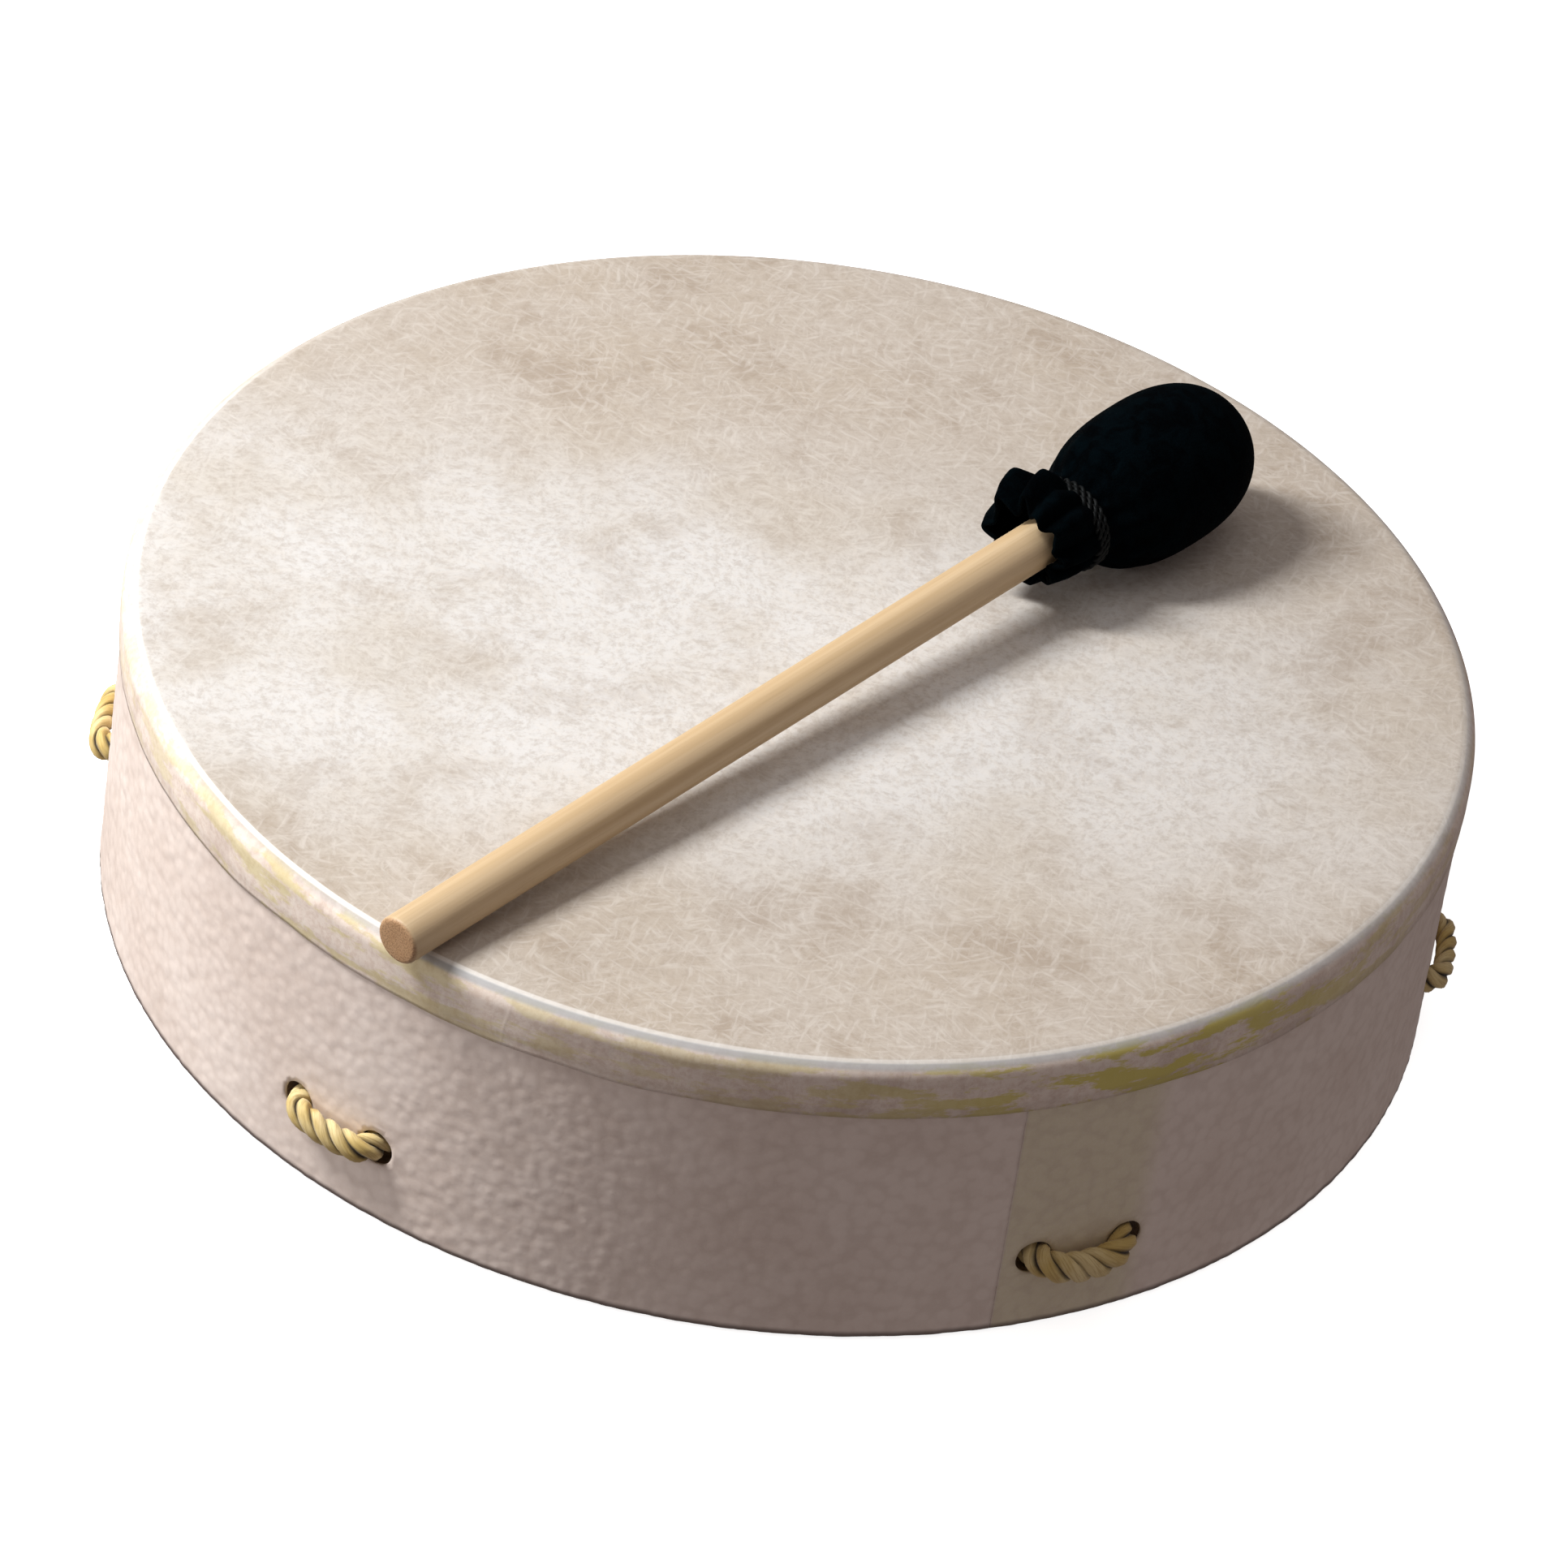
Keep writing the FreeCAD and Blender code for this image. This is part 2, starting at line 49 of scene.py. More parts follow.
# ---------------------------------------------------------------- places read from the frame
HEAD_LOW, HEAD_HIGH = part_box("drumhead")
DRUM_RADIUS = HEAD_HIGH.x
HEAD_TOP = HEAD_HIGH.z
COLLAR_END = HEAD_LOW.z
COVER_LOW, COVER_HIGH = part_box("shell_covering")
COVER_RADIUS = COVER_HIGH.y
HOOP_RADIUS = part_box("shell_hoop")[1].y
RING_LOW, RING_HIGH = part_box("grip_ring")
RING_TUBE = (RING_HIGH.z - RING_LOW.z) / 2
RING_RADIUS = RING_HIGH.y - RING_TUBE
ROPE_HEIGHT = (RING_HIGH.z + RING_LOW.z) / 2

# ---------------------------------------------------------------- sizes
# A strand's radius and its distance from the rope's line are shares of the rope's radius.
EDGE_RADIUS = 5 * MM
FILM_THICKNESS = 0.5 * MM
HOLE_RADIUS = 5 * MM
HOLE_OFFSET = 13 * MM
PAIR_AZIMUTHS = [math.radians(degrees) for degrees in (-2.2, 58.0, 118.1, 178.3, 236.3, 301.4)]
SEAM_AZIMUTH = math.radians(-65.7)
SEAM_GAP = 0.12 * MM
ROPE_RADIUS = 3.8 * MM
ROPE_PITCH = 17 * MM
ROPE_MOUTH = 168 * MM
ROPE_FLATNESS = 0.72
STRAND_SHARE = 0.478
STRAND_OFFSET = 0.53
YARNS = 6
YARN_PITCH = 0.42
YARN_RELIEF = 0.055
BEATER_EDGE = 1.2 * MM
FAR_SIDE = math.radians(-50)
PAD_RADIUS = 21.3 * MM
PAD_FRONT = 29.5 * MM
PAD_BACK = 33 * MM
PAD_END = 317.2 * MM
PAD_SAG = 1.0 * MM
NECK_RADIUS = 12.3 * MM
SKIRT_LENGTH = 17.8 * MM
CLOTH_AND_GAP = 2.2 * MM
SWELL_FRAMES = 20
STUDIO_HALF = 6


# ---------------------------------------------------------------- mesh helpers
def new_piece(name, points, faces, material):
    """A smooth mesh object from points and faces."""
    mesh = bpy.data.meshes.new(name)
    mesh.from_pydata([tuple(point) for point in points], [], [tuple(face) for face in faces])
    mesh.polygons.foreach_set("use_smooth", [True] * len(mesh.polygons))
    mesh.materials.append(material)
    piece = bpy.data.objects.new(name, mesh)
    scene.collection.objects.link(piece)
    return piece


def grid_faces(rows, columns, wrap_rows=False, wrap_columns=False, first=0):
    """Quads of a grid whose points are numbered row by row."""
    down = np.arange(rows if wrap_rows else rows - 1)[:, None]
    along = np.arange(columns if wrap_columns else columns - 1)[None, :]
    next_down = (down + 1) % rows
    next_along = (along + 1) % columns
    corners = [down * columns + along, down * columns + next_along,
               next_down * columns + next_along, next_down * columns + along]
    return first + np.stack(corners, axis=-1).reshape(-1, 4)


def note(piece, name, values):
    """Keep one number, or one vector, for each point of a mesh, for its material to read."""
    values = np.asarray(values, np.float32)
    kind, field = ("FLOAT", "value") if values.ndim == 1 else ("FLOAT_VECTOR", "vector")
    attribute = piece.data.attributes.new(name, kind, "POINT")
    attribute.data.foreach_set(field, values.ravel())


def points_of(mesh):
    """A mesh's points as rows of three numbers."""
    flat = np.empty(len(mesh.vertices) * 3, np.float32)
    mesh.vertices.foreach_get("co", flat)
    return flat.reshape(-1, 3).astype(float)


def move_points(piece, points):
    """Give the piece's mesh new points."""
    piece.data.vertices.foreach_set("co", points.astype(np.float32).ravel())
    piece.data.update()


def finish_piece(piece, body, slot, *nodes):
    """Settle what the piece rides on and hide the nodes that it stands for; slot is not used."""
    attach(piece, body)
    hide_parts(*nodes)
    return piece


def smooth_step(low, high, values):
    """From 0 to 1, without corners, as the values go from low to high."""
    share = np.clip((np.asarray(values, float) - low) / (high - low), 0, 1)
    return share * share * (3 - 2 * share)


def round_noise(angles, radius, wavelength, seed):
    """Smooth noise round a circle, about -1 to 1, with bumps about a wavelength long."""
    scale = radius / wavelength
    return np.array([noise.noise(Vector((scale * math.cos(angle), scale * math.sin(angle), seed)))
                     for angle in angles]) * 1.6


# ---------------------------------------------------------------- material helpers
def tone(red, green, blue):
    """A colour given in the usual 0 to 255 steps, as the renderer wants it."""
    def linear(step):
        share = step / 255
        return share / 12.92 if share <= 0.04045 else ((share + 0.055) / 1.055) ** 2.4
    return (linear(red), linear(green), linear(blue), 1)


class Graph:
    """A node tree and short names for the nodes that the materials here are made of."""

    def __init__(self, tree):
        self.tree = tree

    def add(self, kind, inputs=(), **settings):
        node = self.tree.nodes.new(kind)
        for name, setting in settings.items():
            setattr(node, name, setting)
        for socket, given in dict(inputs).items():
            self.feed(node.inputs[socket], given)
        return node

    def feed(self, socket, given):
        if isinstance(given, bpy.types.NodeSocket):
            self.tree.links.new(given, socket)
        else:
            socket.default_value = given

    def math(self, operation, first, second=0.0):
        return self.add("ShaderNodeMath", {0: first, 1: second}, operation=operation).outputs[0]

    def place(self, operation, first, second=(0, 0, 0)):
        return self.add("ShaderNodeVectorMath", {0: first, 1: second},
                        operation=operation).outputs[0]

    def noise(self, vector, wavelength, detail=3.0, roughness=0.5, distortion=0.0):
        return self.add("ShaderNodeTexNoise", {
            "Vector": vector, "Scale": 1 / wavelength, "Detail": detail,
            "Roughness": roughness, "Distortion": distortion}).outputs[0]

    def band(self, given, low, high, start=0.0, end=1.0):
        """From start to end as the given number goes from low to high."""
        return self.add("ShaderNodeMapRange", {
            "Value": given, "From Min": low, "From Max": high, "To Min": start, "To Max": end},
            interpolation_type="SMOOTHSTEP").outputs[0]

    def mix(self, share, first, second):
        return self.add("ShaderNodeMix", {0: share, 6: first, 7: second},
                        data_type="RGBA").outputs[2]

    def object_place(self):
        return self.add("ShaderNodeTexCoord").outputs["Object"]

    def noted(self, name, vector=False):
        node = self.add("ShaderNodeAttribute", attribute_name=name)
        return node.outputs["Vector" if vector else "Fac"]

    def bump(self, height, distance, strength=1.0, normal=None):
        inputs = {"Height": height, "Distance": distance, "Strength": strength}
        if normal is not None:
            inputs["Normal"] = normal
        return self.add("ShaderNodeBump", inputs).outputs[0]


def new_material(name, build, **sockets):
    """A material whose build function links the shader; sockets are its constant settings."""
    material = bpy.data.materials.new(name)
    material.use_nodes = True
    graph = Graph(material.node_tree)
    shader = material.node_tree.nodes["Principled BSDF"]
    for socket, given in sockets.items():
        shader.inputs[socket.replace("_", " ")].default_value = given
    for socket, given in build(graph).items():
        graph.feed(shader.inputs[socket], given)
    return material


# ---------------------------------------------------------------- drumhead
def fibre_group():
    """A node group: thin curved fibres scattered at random over a flat surface."""
    tree = bpy.data.node_groups.new("fibres", "ShaderNodeTree")
    for name, kind in (("Place", "NodeSocketVector"), ("Cell", "NodeSocketFloat"),
                       ("Width", "NodeSocketFloat")):
        tree.interface.new_socket(name, in_out="INPUT", socket_type=kind)
    tree.interface.new_socket("Fibre", in_out="OUTPUT", socket_type="NodeSocketFloat")
    graph = Graph(tree)
    given = graph.add("NodeGroupInput").outputs
    cells = graph.add("ShaderNodeTexVoronoi", {
        "Vector": given["Place"], "Scale": graph.math("DIVIDE", 1.0, given["Cell"])},
        voronoi_dimensions="2D")
    chance = graph.add("ShaderNodeSeparateColor", {0: cells.outputs["Color"]}).outputs
    offset = graph.place("SUBTRACT", given["Place"], cells.outputs["Position"])
    found = None
    for turn, bow in ((0, 1), (1, 2), (2, 0)):
        heading = graph.math("MULTIPLY", chance[turn], 5 * math.tau)
        middle = graph.add("ShaderNodeCombineXYZ", {
            0: graph.math("SUBTRACT", chance[bow], 0.5),
            1: graph.math("SUBTRACT", chance[3 - turn - bow], 0.5)}).outputs[0]
        middle = graph.add("ShaderNodeVectorMath", {0: middle, "Scale": given["Cell"]},
                           operation="SCALE").outputs[0]
        turned = graph.add("ShaderNodeVectorRotate", {
            "Vector": graph.place("SUBTRACT", offset, middle), "Angle": heading},
            rotation_type="Z_AXIS").outputs[0]
        axes = graph.add("ShaderNodeSeparateXYZ", {0: turned}).outputs
        squared = graph.math("DIVIDE", graph.math("MULTIPLY", axes[0], axes[0]), given["Cell"])
        bend = graph.math("MULTIPLY", graph.math("SUBTRACT", chance[bow], 0.5), squared)
        aside = graph.math("ABSOLUTE", graph.math("SUBTRACT", axes[1], graph.math(
            "MULTIPLY", bend, 2.4)))
        line = graph.band(graph.math("DIVIDE", aside, given["Width"]), 0.0, 1.0,
                          graph.band(chance[bow], 0.0, 1.0, 0.35, 1.0), 0.0)
        reach = graph.math("DIVIDE", graph.math("ABSOLUTE", axes[0]), given["Cell"])
        line = graph.math("MULTIPLY", line, graph.band(reach, 0.3, 0.7, 1.0, 0.0))
        found = line if found is None else graph.math("MAXIMUM", found, line)
    graph.add("NodeGroupOutput", {"Fibre": found})
    return tree


FIBRE_LAYERS = ((11 * MM, 0.8 * MM), (15 * MM, 1.0 * MM), (21 * MM, 1.1 * MM))
STREAK_ANGLES = (-20, 35, 100)


def fibres(graph, place):
    """All the layers of fibres together, from 0 to 1."""
    total = None
    for number, (cell, width) in enumerate(FIBRE_LAYERS):
        shifted = graph.place("ADD", place, (number * 0.37, number * 0.73, 0))
        layer = graph.add("ShaderNodeGroup", node_tree=bpy.data.node_groups["fibres"])
        for socket, given in (("Place", shifted), ("Cell", cell), ("Width", width)):
            graph.feed(layer.inputs[socket], given)
        total = layer.outputs[0] if total is None else graph.math("MAXIMUM", total,
                                                                   layer.outputs[0])
    return total


def streaks(graph, place):
    """Short fuzzy streaks that lie in a few directions, from 0 to 1."""
    total = None
    for degrees in STREAK_ANGLES:
        turned = graph.add("ShaderNodeVectorRotate", {
            "Vector": place, "Angle": math.radians(degrees)}, rotation_type="Z_AXIS").outputs[0]
        drawn = graph.place("MULTIPLY", turned, (1.0, 6.0, 1.0))
        layer = graph.band(graph.noise(drawn, 9 * MM, detail=3, roughness=0.6), 0.5, 0.72)
        total = layer if total is None else graph.math("MAXIMUM", total, layer)
    return total


def collar_colour(graph, place, grain, patches):
    """The glued collar: pale streaks and brown clouds, dried glue, and a darker cut edge."""
    around = graph.place("MULTIPLY", place, (1.0, 1.0, 4.0))
    glue = graph.band(graph.noise(around, 22 * MM, detail=5, roughness=0.7), 0.47, 0.56)
    glue = graph.math("MULTIPLY", glue, graph.noted("glue_share"))
    upright = graph.noise(graph.place("MULTIPLY", place, (1.0, 1.0, 0.3)), 3.4 * MM,
                          detail=4, roughness=0.7)
    colour = graph.mix(graph.band(grain, 0.4, 0.65), tone(236, 222, 210), tone(222, 204, 190))
    colour = graph.mix(graph.band(patches, 0.48, 0.6, 0.0, 0.3), colour, tone(176, 152, 140))
    colour = graph.mix(graph.band(upright, 0.54, 0.72, 0.0, 0.35), colour, tone(240, 234, 222))
    colour = graph.mix(graph.math("MULTIPLY", glue, 0.9), colour, tone(208, 195, 98))
    cut_edge = graph.band(graph.noted("below_edge"), 15 * MM, 17 * MM, 0.0, 0.2)
    return graph.mix(cut_edge, colour, tone(150, 132, 118))


def painted_edge_light(graph, colour):
    """Painted shade as a grey line and a painted highlight as a white line round the edge, each as
    strong as its share there.
    """
    down = graph.noted("below_edge")
    for share, starts, ends, shade in (
            ("painted_shade_share", (1.8 * MM, 2.6 * MM), (3.6 * MM, 5.0 * MM), tone(164, 168, 172)),
            ("painted_highlight_share", (0.9 * MM, 1.4 * MM), (2.0 * MM, 2.8 * MM), tone(250, 250, 247))):
        line = graph.math("MULTIPLY", graph.band(down, *starts), graph.band(down, *ends, 1.0, 0.0))
        colour = graph.mix(graph.math("MULTIPLY", line, graph.noted(share)), colour, shade)
    return colour


def off_centre(graph, place):
    """Distance from the pale middle of the head, which is longer from left to right."""
    axes = graph.add("ShaderNodeSeparateXYZ", {0: place}).outputs
    across = graph.math("MULTIPLY", graph.math("ADD", axes[0], 0.09), 0.35)
    along = graph.math("ADD", axes[1], 0.02)
    return graph.math("SQRT", graph.math(
        "ADD", graph.math("MULTIPLY", across, across), graph.math("MULTIPLY", along, along)))


def parchment(graph):
    """Fibre-filled film: pale, with taupe clouds, soft fibres and a glued collar."""
    place = graph.object_place()
    drift = graph.add("ShaderNodeTexNoise", {"Vector": place, "Scale": 45.0, "Detail": 2.0})
    drift = graph.place("MULTIPLY", graph.place("SUBTRACT", drift.outputs[1], (0.5, 0.5, 0.5)),
                        (0.01, 0.01, 0.0))
    warped = graph.place("ADD", place, drift)
    threads = fibres(graph, warped)
    fuzz = streaks(graph, warped)
    clouds = graph.noise(graph.place("ADD", place, (0.05, 0.02, 0)), 62 * MM, detail=6,
                         roughness=0.66)
    patches = graph.noise(graph.place("ADD", place, (0.3, 0.1, 0)), 27 * MM, detail=5,
                          roughness=0.7)
    grain = graph.noise(warped, 2.2 * MM, detail=4, roughness=0.75)
    warmth = graph.band(off_centre(graph, place), 0.045, 0.13)
    patchy = graph.math("MULTIPLY", graph.band(patches, 0.5, 0.66),
                        graph.band(warmth, 0.0, 1.0, 0.28, 0.55))
    film = tone(215, 213, 210)
    for share, shade in (
            (graph.band(clouds, 0.38, 0.66), tone(199, 192, 182)),
            (graph.math("MULTIPLY", warmth, 0.72), tone(176, 161, 143)),
            (patchy, tone(160, 144, 127)),
            (graph.band(grain, 0.4, 0.68, 0.0, 0.42), tone(160, 146, 131)),
            (graph.math("MULTIPLY", fuzz, 0.36), tone(218, 212, 204)),
            (graph.math("MULTIPLY", threads, 0.13), tone(224, 220, 212))):
        film = graph.mix(share, film, shade)
    over_edge = graph.band(graph.noted("below_edge"), 1.5 * MM, 4.5 * MM)
    colour = graph.mix(over_edge, film, collar_colour(graph, place, grain, patches))
    relief = graph.math("ADD", graph.math("MULTIPLY", threads, 0.5), graph.math(
        "MULTIPLY", grain, 0.8))
    # A painted highlight and painted shade round the edge go over the film's own colour.
    return {"Base Color": painted_edge_light(graph, colour),
            "Roughness": graph.band(clouds, 0.3, 0.7, 0.52, 0.66),
            "Normal": graph.bump(relief, 0.08 * MM, 0.5)}


# How strong the painted highlight and the painted shade round the head's edge are, by degrees
# round the drum.
PAINTED_EDGE_LIGHT_SHARES = {
    "painted_highlight_share": ((0, 50, 150, 172, 228, 245, 300, 345, 360),
                   (0.1, 0.0, 0.1, 0.85, 1.0, 0.45, 0.25, 0.2, 0.1)),
    "painted_shade_share": ((0, 100, 165, 225, 245, 300, 360),
                   (0.4, 0.3, 0.1, 0.1, 0.75, 0.6, 0.4)),
}


def drumhead_film():
    """The head: flat face, rounded edge and a collar whose cut edge runs a little unevenly."""
    segments = 720
    angles = np.arange(segments) / segments * math.tau
    flat_radius = DRUM_RADIUS - EDGE_RADIUS
    turn = np.linspace(0, math.pi / 2, 14)[1:]
    collar = np.linspace(HEAD_TOP - EDGE_RADIUS, COLLAR_END, 12)[1:]
    radii = np.concatenate([np.linspace(0.004, flat_radius, 12),
                            flat_radius + EDGE_RADIUS * np.sin(turn),
                            np.full(len(collar), DRUM_RADIUS)])
    heights = np.concatenate([np.full(12, HEAD_TOP),
                              HEAD_TOP - EDGE_RADIUS * (1 - np.cos(turn)), collar])
    steps = np.hypot(np.diff(radii), np.diff(heights))
    below_edge = np.concatenate([[0], np.cumsum(steps)]) - (flat_radius - 0.004)
    low_share = smooth_step(3 * MM, 20 * MM, below_edge)
    ripple = 0.1 * MM * round_noise(angles, DRUM_RADIUS, 9 * MM, 1.5)
    ripple += 0.12 * MM * round_noise(angles, DRUM_RADIUS, 31 * MM, 4.5)
    cut = 0.5 * MM * round_noise(angles, DRUM_RADIUS, 24 * MM, 8.5)
    cut_share = smooth_step(12 * MM, 20 * MM, below_edge)
    reach = radii[:, None] + low_share[:, None] * ripple[None, :]
    reach -= 0.25 * MM * smooth_step(14 * MM, 17 * MM, below_edge)[:, None]
    height = heights[:, None] + cut_share[:, None] * cut[None, :]
    points = np.stack([reach * np.cos(angles), reach * np.sin(angles), height], axis=-1)
    points = np.concatenate([points.reshape(-1, 3), [[0, 0, HEAD_TOP]]])
    rows = len(radii)
    centre = rows * segments
    faces = [tuple(face) for face in grid_faces(rows, segments, wrap_columns=True)[:, ::-1]]
    faces += [(centre, number, (number + 1) % segments) for number in range(segments)]
    piece = new_piece("drumhead_film", points, faces, MATERIALS["film"])
    note(piece, "below_edge", np.append(np.repeat(below_edge, segments), -1))
    right_front = np.exp(-((angles - math.radians(305)) / 0.45) ** 2)
    left_front = np.exp(-((angles - math.radians(232)) / 0.5) ** 2)
    share = np.clip(0.16 + 0.9 * right_front + 0.32 * left_front, 0, 1)
    note(piece, "glue_share", np.append(np.tile(share, rows), 0))
    # Painted highlight and painted shade round the edge, set by azimuth.
    for name, (degrees, shares) in PAINTED_EDGE_LIGHT_SHARES.items():
        around = np.interp(np.degrees(angles), degrees, shares)
        note(piece, name, np.append(np.tile(around, rows), 0))
    solid = piece.modifiers.new("thickness", "SOLIDIFY")
    solid.thickness = FILM_THICKNESS
    solid.offset = -1
    return finish_piece(piece, "drum", "head_film", "drumhead")


# ---------------------------------------------------------------- shell
def covering_look(graph):
    """Embossed sheet: pinkish taupe, greener beside the seam, with painted shade in the hollows
    and a painted contact shadow along its foot.
    """
    place = graph.object_place()
    mottle = graph.noise(place, 38 * MM, detail=4, roughness=0.6)
    grain = graph.noise(place, 0.9 * MM, detail=3, roughness=0.6)
    bumps = graph.add("ShaderNodeTexVoronoi", {
        "Vector": place, "Scale": 1 / (3.4 * MM), "Smoothness": 0.5},
        feature="SMOOTH_F1").outputs["Distance"]
    relief = graph.noted("relief")
    colour = graph.mix(graph.band(mottle, 0.35, 0.65), tone(236, 222, 212), tone(227, 211, 200))
    from_seam = graph.noted("from_seam")
    strip = graph.math("MULTIPLY", graph.band(from_seam, 0, 0.6 * MM),
                       graph.band(from_seam, 34 * MM, 44 * MM, 1.0, 0.0))
    colour = graph.mix(graph.math("MULTIPLY", strip, 0.8), colour, tone(221, 211, 181))
    # Painted shade: darker in the hollows between the bumps.
    colour = graph.mix(graph.band(bumps, 0.35, 0.8, 0.0, 0.22), colour, tone(186, 166, 152))
    colour = graph.mix(graph.band(grain, 0.4, 0.7, 0.0, 0.12), colour, tone(244, 236, 228))
    height = graph.add("ShaderNodeSeparateXYZ", {0: place}).outputs[2]
    # Painted contact shadow: dark along the lowest few millimetres, where the sheet meets the
    # floor.
    colour = graph.mix(graph.band(height, 1.4 * MM, 3.2 * MM, 0.8, 0.0), colour, tone(90, 74, 68))
    swells = graph.bump(graph.math("SUBTRACT", 1.0, bumps), 0.3 * MM, 0.5)
    return {"Base Color": colour, "Roughness": graph.band(relief, 0.2, 0.9, 0.62, 0.5),
            "Normal": graph.bump(grain, 0.04 * MM, 0.4, swells)}


def pebble(point):
    """Height of the embossed grain at a point of the sheet, from 0 to 1."""
    near, further = noise.voronoi(point / (3.9 * MM))[0][:2]
    cell = min(1.0, (further - near) / 0.8)
    swell = noise.noise(point / (2.8 * MM))
    broad = noise.noise(point / (7.5 * MM))
    return min(1.0, max(0.0, 0.25 + 0.5 * cell * (2 - cell) + 0.4 * swell + 0.2 * broad))


def covering_sheet():
    """The embossed sheet round the hoop, with its rope holes and its butt seam."""
    cell = 1.12 * MM
    turn = math.tau - SEAM_GAP / COVER_RADIUS
    columns = round(turn * COVER_RADIUS / cell)
    rows = round((COVER_HIGH.z - COVER_LOW.z) / cell)
    angles = SEAM_AZIMUTH + SEAM_GAP / COVER_RADIUS / 2 + np.linspace(0, turn, columns)
    heights = np.linspace(COVER_LOW.z, COVER_HIGH.z, rows)
    angle, height = (side.ravel() for side in np.meshgrid(angles, heights))
    faces = grid_faces(rows, columns)
    for azimuth in PAIR_AZIMUTHS:
        for side in (-1, 1):
            centre = azimuth + side * math.asin(HOLE_OFFSET / COVER_RADIUS)
            away = (angle - centre + math.pi) % math.tau - math.pi
            across = away * COVER_RADIUS
            up = height - ROPE_HEIGHT
            distance = np.hypot(across, up)
            inside = (distance < HOLE_RADIUS - cell / 2)[faces].any(axis=1)
            rim = np.intersect1d(faces[inside], faces[~inside])
            faces = faces[~inside]
            stretch = HOLE_RADIUS / distance[rim]
            angle[rim] = centre + across[rim] * stretch / COVER_RADIUS
            height[rim] = ROPE_HEIGHT + up[rim] * stretch
    used, faces = np.unique(faces, return_inverse=True)
    faces = faces.reshape(-1, 4)
    angle, height = angle[used], height[used]
    bare = np.stack([COVER_RADIUS * np.cos(angle), COVER_RADIUS * np.sin(angle), height], axis=-1)
    relief = np.array([pebble(Vector(point)) for point in bare])
    radius = COVER_RADIUS + 0.3 * MM * (relief - 0.7)
    points = np.stack([radius * np.cos(angle), radius * np.sin(angle), height], axis=-1)
    piece = new_piece("covering_sheet", points, faces, MATERIALS["covering"])
    note(piece, "relief", relief)
    note(piece, "from_seam", ((angle - SEAM_AZIMUTH) % math.tau) * COVER_RADIUS)
    solid = piece.modifiers.new("thickness", "SOLIDIFY")
    solid.thickness = COVER_RADIUS - HOOP_RADIUS - 0.25 * MM
    solid.offset = -1
    finish_piece(piece, "drum", "covering", "shell_covering")


def fibreboard_look(graph):
    """Resin-bonded wood fibre, brown, with short flecks that run round the hoop."""
    place = graph.object_place()
    flecks = graph.noise(graph.place("MULTIPLY", place, (1, 1, 6)), 7 * MM, detail=6,
                         roughness=0.7)
    clouds = graph.noise(place, 30 * MM, detail=3)
    colour = graph.mix(graph.band(flecks, 0.4, 0.66), tone(98, 76, 57), tone(148, 123, 96))
    colour = graph.mix(graph.band(clouds, 0.4, 0.65, 0.0, 0.4), colour, tone(92, 72, 56))
    return {"Base Color": colour, "Roughness": graph.band(flecks, 0.3, 0.7, 0.55, 0.72),
            "Normal": graph.bump(flecks, 0.25 * MM, 0.5)}


def glue_look(graph):
    """Dried yellowish glue with a few clouds in it."""
    clouds = graph.noise(graph.object_place(), 9 * MM, detail=4)
    colour = graph.mix(graph.band(clouds, 0.35, 0.65), tone(214, 200, 138), tone(176, 160, 96))
    return {"Base Color": colour, "Normal": graph.bump(clouds, 0.2 * MM, 0.4)}


# ---------------------------------------------------------------- rope
def rope_look(graph):
    """Cream and straw-coloured fibres along each strand, with painted shade in the grooves between
    strands.
    """
    along = graph.noted("along", vector=True)
    fine = graph.noise(graph.place("MULTIPLY", along, (0.16, 1.0, 1.0)), 0.5 * MM, detail=3,
                       roughness=0.65)
    tint = graph.noise(graph.object_place(), 11 * MM, detail=3)
    colour = graph.mix(graph.band(tint, 0.36, 0.64), tone(227, 207, 153), tone(205, 177, 103))
    colour = graph.mix(graph.band(fine, 0.42, 0.68, 0.0, 0.45), colour, tone(160, 126, 66))
    # Painted shade: dark where the surface lies deep, in the grooves between the strands.
    colour = graph.mix(graph.band(graph.noted("depth"), 0.64, 0.94, 1.0, 0.0), colour,
                       tone(50, 36, 12))
    return {"Base Color": colour, "Roughness": graph.band(fine, 0.3, 0.7, 0.6, 0.8),
            "Normal": graph.bump(fine, 0.18 * MM, 0.6)}


def curve_points(points, cyclic=False, step=0.8 * MM):
    """Evenly spaced points along the smooth line that a list of control points makes."""
    curve = bpy.data.curves.new("route", "CURVE")
    curve.dimensions = "3D"
    curve.resolution_u = 24
    spline = curve.splines.new("NURBS")
    spline.points.add(len(points) - 1)
    for control, place in zip(spline.points, points):
        control.co = (*place, 1)
    spline.use_cyclic_u = cyclic
    spline.use_endpoint_u = not cyclic
    spline.order_u = 3
    holder = bpy.data.objects.new("route", curve)
    scene.collection.objects.link(holder)
    mesh = bpy.data.meshes.new_from_object(holder)
    line = points_of(mesh)
    bpy.data.objects.remove(holder)
    if cyclic:
        line = np.concatenate([line, line[:1]])
    lengths = np.concatenate([[0], np.cumsum(np.linalg.norm(np.diff(line, axis=0), axis=1))])
    wanted = np.linspace(0, lengths[-1], max(3, round(lengths[-1] / step)) + 1)
    return np.stack([np.interp(wanted, lengths, line[:, axis]) for axis in range(3)], axis=-1)


